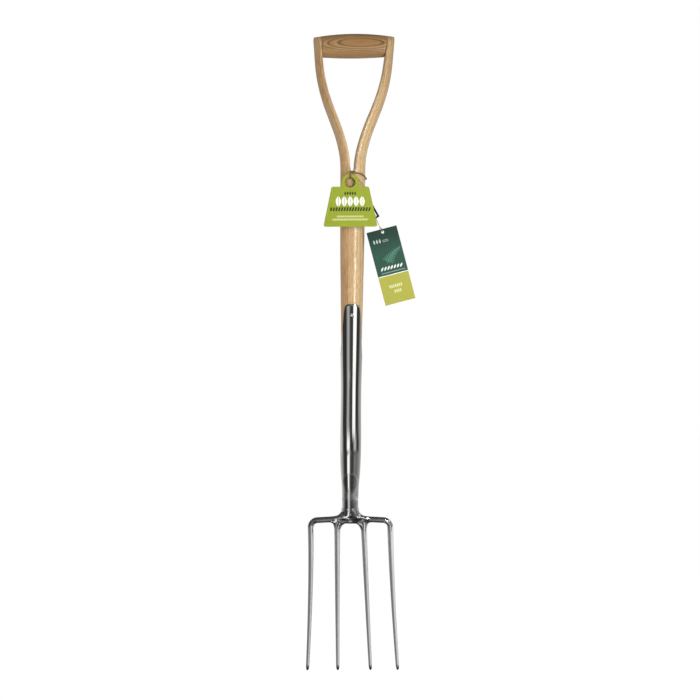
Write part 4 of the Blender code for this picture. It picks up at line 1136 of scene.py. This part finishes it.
def label_finish():
    """The small label: white with a black border along its right and lower edges."""
    finish = Finish("white label with black border")
    moved, across, up, _ = card_place(finish, LABEL_PLACE, LABEL_TURN)
    border = across.rise(4.4, 4.7).larger(up.rise(-41.2, -41.6))
    bars = band(((up + 2.0) / 2.4).fraction(), 0.1, 0.55, 0.1)
    bars = bars * band(across, 0.5, 3.6, 0.2) * band(up, -40.5, -27.0, 0.2)
    paper = finish.noise(moved, scale=1.2, detail=4.0)
    colour = finish.mix(paper, (0.74, 0.74, 0.70), (0.66, 0.66, 0.62))
    colour = finish.mix(border.larger(bars * 0.7), colour, (0.006, 0.006, 0.006))
    normal = finish.bump(paper, 0.1, 0.00004)
    return finish.set(base_color=colour, roughness=0.55 + paper * 0.15, specular_ior_level=0.15, normal=normal)


def cord_finish(name, light, dark, fuzz):
    """Twisted fibre: fine hairs along each strand."""
    finish = Finish(name)
    vector, *_ = finish.place("grain")
    hairs = finish.noise(vector, (900.0, 9000.0, 3.0), detail=4.0, roughness=0.7)
    soil = finish.noise(vector, (120.0, 400.0, 1.0), detail=2.0)
    tone = (hairs * 0.75 + soil * 0.5 - 0.12).larger(0.0).smaller(1.0)
    return finish.set(
        base_color=finish.mix(tone, light, dark),
        roughness=0.85 + hairs * 0.1,
        normal=finish.bump(hairs, 0.6, fuzz),
    )


# Properties

def colour_choice(name, description, default):
    return FloatVectorProperty(
        name=name, description=description, subtype="COLOR", size=3, default=default, min=0, max=1)


def length_choice(name, description, default, low, high):
    return FloatProperty(name=name, description=description, unit="LENGTH", default=default, min=low, max=high)


class ForkFinishes(bpy.types.PropertyGroup):
    """Colours that a user would change."""

    ash_light: colour_choice("Ash, light", "Early wood of the shaft and arms", (0.62, 0.430, 0.235))
    ash_dark: colour_choice("Ash, dark", "Late wood of the shaft and arms", (0.33, 0.185, 0.075))
    grip_light: colour_choice("Grip, light", "Early wood of the hand grip", (0.385, 0.226, 0.089))
    grip_dark: colour_choice("Grip, dark", "Late wood of the hand grip", (0.12, 0.060, 0.019))
    lime: colour_choice("Lime card", "Ground of the lime card", (0.284, 0.335, 0.021))
    lime_lower: colour_choice("Lime foot", "Lower part of the swing card", (0.385, 0.376, 0.055))
    green: colour_choice("Dark green", "Upper part of the swing card", (0.019, 0.075, 0.049))
    print_green: colour_choice("Print green", "Dark print on the lime card", (0.004, 0.044, 0.006))
    cord_light: colour_choice("Cord, light", "Light fibres of the throat's cord", (0.30, 0.145, 0.075))
    cord_dark: colour_choice("Cord, dark", "Dark fibres of the throat's cord", (0.10, 0.040, 0.018))
    thread_light: colour_choice("Thread, light", "Light fibres of the threads", (0.36, 0.32, 0.12))
    thread_dark: colour_choice("Thread, dark", "Dark fibres of the threads", (0.12, 0.11, 0.035))


class ForkSizes(bpy.types.PropertyGroup):
    """Sizes that a user would change."""

    cord_diameter: length_choice("Cord", "Thickness of the cord round the throat", 0.0020, 0.001, 0.003)
    thread_diameter: length_choice("Thread", "Thickness of the threads to the small cards", 0.0011, 0.0003, 0.0015)
    cord_pitch: length_choice("Twist", "Length of one turn of the cord's strands", 0.0062, 0.002, 0.02)
    cord_strands: IntProperty(
        name="Strands", description="Strands that the cord is twisted from", default=3, min=2, max=4)
    key_power: FloatProperty(
        name="Key light", description="Power of the soft box at the front right",
        unit="POWER", default=13.3, min=0, max=100)
    sky_level: FloatProperty(
        name="Fill", description="Level of the even light from all round", default=0.57, min=0, max=2)


# Studio: brightness by the direction from the handle's axis, in degrees from the front round by the right

TOP_BANDS = (
    (-180, 0.1), (45, 0.1), (60, 1.0), (115, 1.0), (128, 0.1), (180, 0.1),
)
HIGH_BANDS = (
    (-180, 0.30), (-130, 0.08), (-100, 0.05), (-70, 0.05), (-40, 0.07), (-15, 0.12), (10, 0.15), (35, 0.20),
    (60, 0.22), (90, 0.25), (120, 0.30), (180, 0.30),
)
UPPER_BANDS = (
    (-180, 0.65), (-150, 0.61), (-122, 0.41), (-108, 0.37), (-100, 0.026), (-57, 0.026), (-50, 0.20),
    (-39, 0.35), (-30, 0.37), (-24, 0.22), (-17, 0.05), (11, 0.035), (16, 1.0), (45, 1.0), (49, 0.03),
    (76, 0.026), (84, 0.09), (92, 0.20), (104, 0.29), (126, 0.34), (150, 0.42), (180, 0.65),
)
MIDDLE_BANDS = (
    (-180, 0.55), (-120, 0.54), (-108, 0.39), (-97, 0.22), (-88, 0.045), (-76, 0.02), (-61, 0.026), (-50, 0.04),
    (-45, 0.20), (-40, 1.0), (-17, 1.0), (-10, 0.12), (-2, 0.03), (16, 0.015), (24, 0.045), (29, 0.15),
    (36, 0.36), (42, 0.43), (52, 0.39), (58, 0.26), (64, 0.09), (70, 0.045), (87, 0.02), (98, 0.13),
    (106, 0.24), (125, 0.33), (150, 0.40), (180, 0.55),
)
LOWER_BANDS = (
    (-180, 0.50), (-142, 0.53), (-111, 0.30), (-90, 0.14), (-80, 0.035), (-55, 0.018), (-44, 0.035),
    (-36, 0.10), (-31, 0.40), (-24, 0.49), (-15, 0.47), (-8, 0.26), (-2, 0.08), (4, 0.06), (18, 0.03),
    (33, 0.06), (49, 0.09), (65, 0.12), (84, 0.17), (105, 0.235), (136, 0.39), (180, 0.50),
)
LOW_BANDS = (
    (-180, 0.50), (-142, 0.32), (-115, 0.12), (-95, 0.06), (-76, 0.02), (-50, 0.03), (-38, 0.06), (-33, 0.85),
    (-19, 0.85), (-13, 0.10), (16, 0.02), (33, 0.05), (49, 0.08), (65, 0.12), (84, 0.17), (98, 0.20),
    (125, 0.33), (180, 0.5),
)
RIDGE_BANDS = (
    (-180, 0.0), (-3, 0.0), (0, 1.0), (7, 1.0), (10, 0.0), (180, 0.0),
)
RIM_BANDS = (
    (-180, 0.50), (-142, 0.53), (-111, 0.30), (-90, 0.14), (-80, 0.035), (-55, 0.018), (-46, 0.03), (-40, 0.30),
    (-35, 0.95), (-17, 0.92), (-10, 0.20), (-2, 0.07), (4, 0.05), (18, 0.03), (30, 0.07), (42, 0.16),
    (52, 0.16), (65, 0.12), (84, 0.16), (105, 0.235), (136, 0.39), (180, 0.50),
)
TINE_BANDS = (
    (-180, 0.03), (-150, 0.03), (-125, 0.07), (-108, 0.15), (-92, 0.21), (-60, 0.19), (-30, 0.28), (0, 0.38),
    (25, 0.52), (50, 0.72), (80, 0.88), (120, 1.0), (150, 1.0), (180, 1.0),
)
CARD_BANDS = (
    (-180, 0.40), (-110, 0.10), (-26, 0.10), (-22, 1.0), (-6, 1.0), (-3, 0.10), (110, 0.10), (180, 0.40),
)
WALL_ZONES = (
    (0.56, 0.46, HIGH_BANDS), (-0.32, -0.355, UPPER_BANDS), (-0.540, -0.605, MIDDLE_BANDS),
    (-0.638, -0.652, LOWER_BANDS), (-0.77, -0.81, LOW_BANDS),
)
RIDGE_ZONE = (-1.80, -1.08)
WALL_GLOW = 1.15
WALL_RADIUS = 1.3
WALL_FOOT_Z = -1.75
WALL_HEAD_Z = 0.85
LID_Z = -0.671
LID_RADIUS = 0.30
CARD_RADIUS = 0.32
CARD_FOOT_Z = -1.60
CARD_HEAD_Z = -1.22
SOFT_BOXES = (
    # name, azimuth in degrees, distance, height, width, length, power and what doesn't see it
    ("fill_softbox", -60.0, 3.0, 0.6, 1.8, 1.8, 14.0, "glossy"),
    ("back_softbox", 180.0, 3.0, 0.2, 1.8, 1.8, 18.0, "glossy"),
    ("gloss_strip", 27.0, 0.5, -0.25, 0.05, 0.30, 1.15, "diffuse"),
)
MIRRORED_HEIGHTS = (-0.35, 0.25)
MIRRORED_LEVELS = (0.02, 0.05)
FLOOR_GLOW = 1.04
FLOOR_GLOW_SHARE = 0.93
CAMERA_AZIMUTH = math.radians(-3.0)
CAMERA_ROLL = math.radians(0.46)
CAMERA_DISTANCE = 7.0
SENSOR_WIDTH = 36.0
CAMERA_TARGET = Vector((-0.0021, 0.0, -0.4371))
VIEW_HEIGHT = 1.05
FLOOR_GAP = 0.0015


# Operators

class FORK_OT_stage(bpy.types.Operator):
    """Camera, pale floor, soft lights and the studio that the steel reflects"""

    bl_idname = "fork.stage"
    bl_label = "Stage"

    def execute(self, context):
        sizes = context.scene.fork_sizes
        deselect()
        self.camera(context)
        self.floor()
        self.screen("studio_wall", (WALL_RADIUS, WALL_FOOT_Z), (WALL_RADIUS, WALL_HEAD_Z), self.wall_light())
        rim = self.band_light("rim light", RIM_BANDS, WALL_GLOW)
        tines = self.band_light("tine light", TINE_BANDS, 1.0)
        self.screen("lid_top", (LID_RADIUS, LID_Z), (WALL_RADIUS - 0.01, LID_Z + 0.0005), rim)
        self.screen("lid_underside", (LID_RADIUS, LID_Z - 0.001), (WALL_RADIUS - 0.01, LID_Z - 0.0005), tines)
        low = self.band_light("low light", CARD_BANDS, 1.1)
        self.screen("low_card", (CARD_RADIUS, CARD_FOOT_Z), (CARD_RADIUS, CARD_HEAD_Z), low)
        key = ("key_softbox", 35.0, 1.25, -0.15, 0.50, 1.20, sizes.key_power, "glossy")
        for *box, unseen in (key, *SOFT_BOXES):
            setattr(self.lamp(*box), f"visible_{unseen}", False)
        self.world(context, sizes.sky_level)
        return {"FINISHED"}

    def camera(self, context):
        """The camera in front, a little to the left and rolled as the photo's is."""
        out = Vector((math.sin(CAMERA_AZIMUTH), -math.cos(CAMERA_AZIMUTH), 0.0))
        place = CAMERA_TARGET + CAMERA_DISTANCE * out
        bpy.ops.object.camera_add(location=place)
        camera = context.object
        camera.name = "front_camera"
        level = (CAMERA_TARGET - place).to_track_quat("-Z", "Y").to_matrix().to_4x4()
        camera.matrix_world = Matrix.Translation(place) @ level @ Matrix.Rotation(CAMERA_ROLL, 4, "Z")
        camera.data.sensor_width = SENSOR_WIDTH
        camera.data.lens = SENSOR_WIDTH * CAMERA_DISTANCE / VIEW_HEIGHT
        camera.data.clip_end = 100.0
        context.scene.camera = camera
        context.scene.view_settings.view_transform = "Standard"

    def floor(self):
        """A floor just under the points, nearly white to the camera."""
        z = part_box("tine_inner_left")[0].z - FLOOR_GAP
        bpy.ops.mesh.primitive_plane_add(size=40.0, location=(0, 0, z))
        floor = bpy.context.object
        floor.name = "pale_floor"
        paint = Finish("pale floor")
        paint.set(base_color=(0.88, 0.88, 0.88), roughness=0.8, specular_ior_level=0.2)
        rays = paint.tree.nodes.new("ShaderNodeLightPath")
        seen = Value(paint, rays.outputs["Is Camera Ray"])
        glow = paint.node("Emission", None, {"Color": (1.0, 1.0, 1.0), "Strength": FLOOR_GLOW})
        both = paint.node("MixShader", None, (seen * FLOOR_GLOW_SHARE, Value(paint, paint.shader.outputs[0]), glow))
        paint.tree.links.new(both.socket, paint.tree.nodes["Material Output"].inputs["Surface"])
        floor.data.materials.append(paint.material)
        floor.visible_glossy = False

    def screen(self, name, low, high, material):
        """A round screen from one radius and height to another, that only the steel's reflections see."""
        bpy.ops.mesh.primitive_cone_add(vertices=96, radius1=low[0], radius2=high[0], depth=high[1] - low[1],
                                        end_fill_type="NOTHING", location=(0, 0, (low[1] + high[1]) / 2))
        screen = bpy.context.object
        screen.name = name
        bpy.ops.object.transform_apply(location=True, rotation=False, scale=False)
        screen.data.materials.append(material)
        for ray in ("camera", "diffuse", "transmission", "volume_scatter", "shadow"):
            setattr(screen, f"visible_{ray}", False)

    def lamp(self, name, azimuth, distance, z, width, height, power):
        """A rectangular soft box that faces the handle's axis."""
        angle = math.radians(azimuth)
        place = Vector((distance * math.sin(angle), -distance * math.cos(angle), z))
        bpy.ops.object.light_add(type="AREA", location=place)
        lamp = bpy.context.object
        lamp.name = name
        lamp.rotation_euler = (Vector((0, 0, z)) - place).to_track_quat("-Z", "Y").to_euler()
        lamp.data.shape, lamp.data.size, lamp.data.size_y = "RECTANGLE", width, height
        lamp.data.energy = power
        lamp.visible_camera = False
        return lamp

    def around(self, name):
        """A paint, a maker of ramps by the direction from the handle's axis, and the height."""
        paint = Finish(name)
        _, x, y, z = paint.place()
        turn = paint.node("Math", {"operation": "ARCTAN2"}, (x, 0.0 - y)) / (2 * math.pi) + 0.5

        def panels(bands):
            return paint.ramp(turn, *(((degrees + 180) / 360, level) for degrees, level in bands))

        return paint, panels, z

    def glowing(self, paint, colour, strength):
        glow = paint.node("Emission", None, {"Color": colour, "Strength": strength})
        paint.tree.links.new(glow.socket, paint.tree.nodes["Material Output"].inputs["Surface"])
        return paint.material

    def band_light(self, name, bands, strength):
        paint, panels, _ = self.around(name)
        return self.glowing(paint, panels(bands), strength)

    def wall_light(self):
        """Bright panels and dark gaps by direction, in sets from the ceiling down to the floor."""
        paint, panels, z = self.around("studio wall")
        colour = panels(TOP_BANDS)
        for start, end, bands in WALL_ZONES:
            colour = paint.mix(z.rise(start, end), colour, panels(bands))
        ridge = panels(RIDGE_BANDS) * band(z, *RIDGE_ZONE, 0.03) * 0.33
        return self.glowing(paint, paint.mix(ridge, colour, (1.0, 1.0, 1.0)), WALL_GLOW)

    def world(self, context, level):
        """White behind the object, an even grey all round for its light, and a dark floor for its reflections."""
        world = bpy.data.worlds.new("studio")
        context.scene.world = world
        world.use_nodes = True
        tree = world.node_tree

        def node(kind, *values):
            made = tree.nodes.new(f"ShaderNode{kind}")
            for index, value in enumerate(values):
                if hasattr(value, "is_output"):
                    tree.links.new(value, made.inputs[index])
                elif value is not None:
                    made.inputs[index].default_value = value
            return made

        rays = node("LightPath").outputs
        height = node("SeparateXYZ", node("TexCoord").outputs["Generated"]).outputs["Z"]
        above = node("MapRange", height, *MIRRORED_HEIGHTS, *MIRRORED_LEVELS).outputs[0]
        plain = node("Background", (1.0, 1.0, 1.0, 1.0), level).outputs[0]
        mirrored = node("Background", (1.0, 1.0, 1.0, 1.0), above).outputs[0]
        white = node("Background", (1.0, 1.0, 1.0, 1.0), 1.0).outputs[0]
        lit = node("MixShader", rays["Is Glossy Ray"], plain, mirrored).outputs[0]
        seen = node("MixShader", rays["Is Camera Ray"], lit, white).outputs[0]
        tree.links.new(seen, tree.nodes["World Output"].inputs["Surface"])


class FORK_OT_cords(bpy.types.Operator):
    """The cord round the throat, its bight and knots, and the threads to the small cards"""

    bl_idname = "fork.cords"
    bl_label = "Cords"

    def execute(self, context):
        sizes, colours = context.scene.fork_sizes, context.scene.fork_finishes
        cord, thread = sizes.cord_diameter, sizes.thread_diameter
        brown = cord_finish("brown twisted cord", colours.cord_light[:], colours.cord_dark[:], 0.00015)
        pale = cord_finish("olive twisted thread", colours.thread_light[:], colours.thread_dark[:], 0.00006)

        strand = 0.72 * cord
        knot, _, _ = twisted("throat_knot", knot_route(CORD_KNOT, CORD_KNOT_SIZE, strand / 2), strand, 3, 0.0045)
        settle(knot, brown, "fork", "hemp_cord", "cord_knot")
        bight, _, _ = twisted("tag_bight", CORD_BIGHT_ROUTE, cord, sizes.cord_strands, sizes.cord_pitch)
        settle(bight, brown, "fork", "hemp_cord", "cord_bight")
        loop, points, length = twisted("neck_cord", THROAT_CORD_ROUTE, cord, sizes.cord_strands, sizes.cord_pitch)
        settle(loop, brown, "fork", "hemp_cord", "throat_cord")

        for name, place, size, node in (
            ("label_stop", LABEL_KNOT, LABEL_KNOT_SIZE, "label_knot"),
            ("thread_tie", THREAD_KNOT, THREAD_KNOT_SIZE, "thread_knot"),
        ):
            piece, _, _ = twisted(name, knot_route(place, size, 0.45 * thread), 0.9 * thread, 2, 0.002, sides=6)
            settle(piece, pale, "fork", "cotton_thread", node)
        eye, _, _ = twisted("card_loop", TAG_LOOP_ROUTE, thread, 2, 0.0024, sides=6)
        settle(eye, pale, "swing_tag", "cotton_thread", "tag_loop")
        for name, route, node, end in (
            ("label_line", LABEL_THREAD_ROUTE, "label_thread", "label_stop"),
            ("card_line", TAG_THREAD_ROUTE, "tag_thread", "thread_tie"),
        ):
            piece, points, length = twisted(name, route, thread, 2, 0.0024, sides=6)
            settle(piece, pale, "fork", "cotton_thread", node)
        return {"FINISHED"}


class FORK_OT_handle(bpy.types.Operator):
    """The split ash shaft with its two arms"""

    bl_idname = "fork.handle"
    bl_label = "Handle"

    def execute(self, context):
        colours = context.scene.fork_finishes
        ash = ash_finish("lacquered ash", colours.ash_light[:], colours.ash_dark[:], (0.94, 0.34),
                         0.0061, 0.2, 0.006, 1.6, 2.2, 0.45, 1.4, top_darkening=0.30)
        settle(make_wishbone(), ash, "fork", "ash", "wishbone_shaft")
        return {"FINISHED"}


class FORK_OT_grip(bpy.types.Operator):
    """The turned barrel between the arms"""

    bl_idname = "fork.grip"
    bl_label = "Hand grip"

    def execute(self, context):
        colours = context.scene.fork_finishes
        ash = ash_finish("turned ash", colours.grip_light[:], colours.grip_dark[:], (0.27, -0.96),
                         -0.00155, 0.26, 0.018, 0.42, 4.0, 1.05, 0.35, fine=0.6, crisp=True, heart=0.02352)
        settle(make_grip(), ash, "fork", "grip_ash", "hand_grip")
        return {"FINISHED"}


class FORK_OT_steel(bpy.types.Operator):
    """The socket, the seamless head and the fixings"""

    bl_idname = "fork.steel"
    bl_label = "Steel"

    def execute(self, context):
        settle(make_socket(), polished_finish(), "fork", "polished_steel", "socket")
        head = settle(make_head(), head_finish(), "fork", "satin_steel", "crown")
        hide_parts("tine_outer_left", "tine_inner_left", "tine_inner_right", "tine_outer_right")
        steel = fixing_finish()
        settle(make_screw(), screw_finish(), "fork", "fastener_steel", "front_screw")
        for node in ("grip_pin", "pin_rove_left", "pin_rove_right", "rear_screw"):
            coat(node, steel)
        return {"FINISHED"}


class FORK_OT_cards(bpy.types.Operator):
    """The printed cards"""

    bl_idname = "fork.cards"
    bl_label = "Cards"

    def execute(self, context):
        colours = context.scene.fork_finishes
        coat("weight_tag", lime_finish(colours.lime[:], colours.print_green[:]))
        coat("swing_tag", green_finish(colours.lime_lower[:], colours.green[:]))
        coat("small_label", label_finish())
        return {"FINISHED"}


class FORK_PT_panel(bpy.types.Panel):
    """The fork's pieces and their values"""

    bl_idname = "FORK_PT_panel"
    bl_label = "Border fork"
    bl_space_type = "VIEW_3D"
    bl_region_type = "UI"
    bl_category = "Border fork"

    def draw(self, context):
        for group in (context.scene.fork_sizes, context.scene.fork_finishes):
            for name in group.__annotations__:
                self.layout.prop(group, name)
        for operator in OPERATORS:
            self.layout.operator(operator.bl_idname)


OPERATORS = (FORK_OT_stage, FORK_OT_cords, FORK_OT_handle, FORK_OT_grip, FORK_OT_steel, FORK_OT_cards)
CLASSES = (ForkFinishes, ForkSizes, *OPERATORS, FORK_PT_panel)


def register():
    for item in CLASSES:
        bpy.utils.register_class(item)
    bpy.types.Scene.fork_finishes = PointerProperty(type=ForkFinishes)
    bpy.types.Scene.fork_sizes = PointerProperty(type=ForkSizes)


def unregister():
    del bpy.types.Scene.fork_finishes
    del bpy.types.Scene.fork_sizes
    for item in reversed(CLASSES):
        bpy.utils.unregister_class(item)


def main():
    register()
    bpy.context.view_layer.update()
    bpy.ops.fork.stage()
    bpy.ops.fork.cords()
    bpy.ops.fork.handle()
    bpy.ops.fork.grip()
    bpy.ops.fork.steel()
    bpy.ops.fork.cards()


if __name__ == "__main__":
    main()
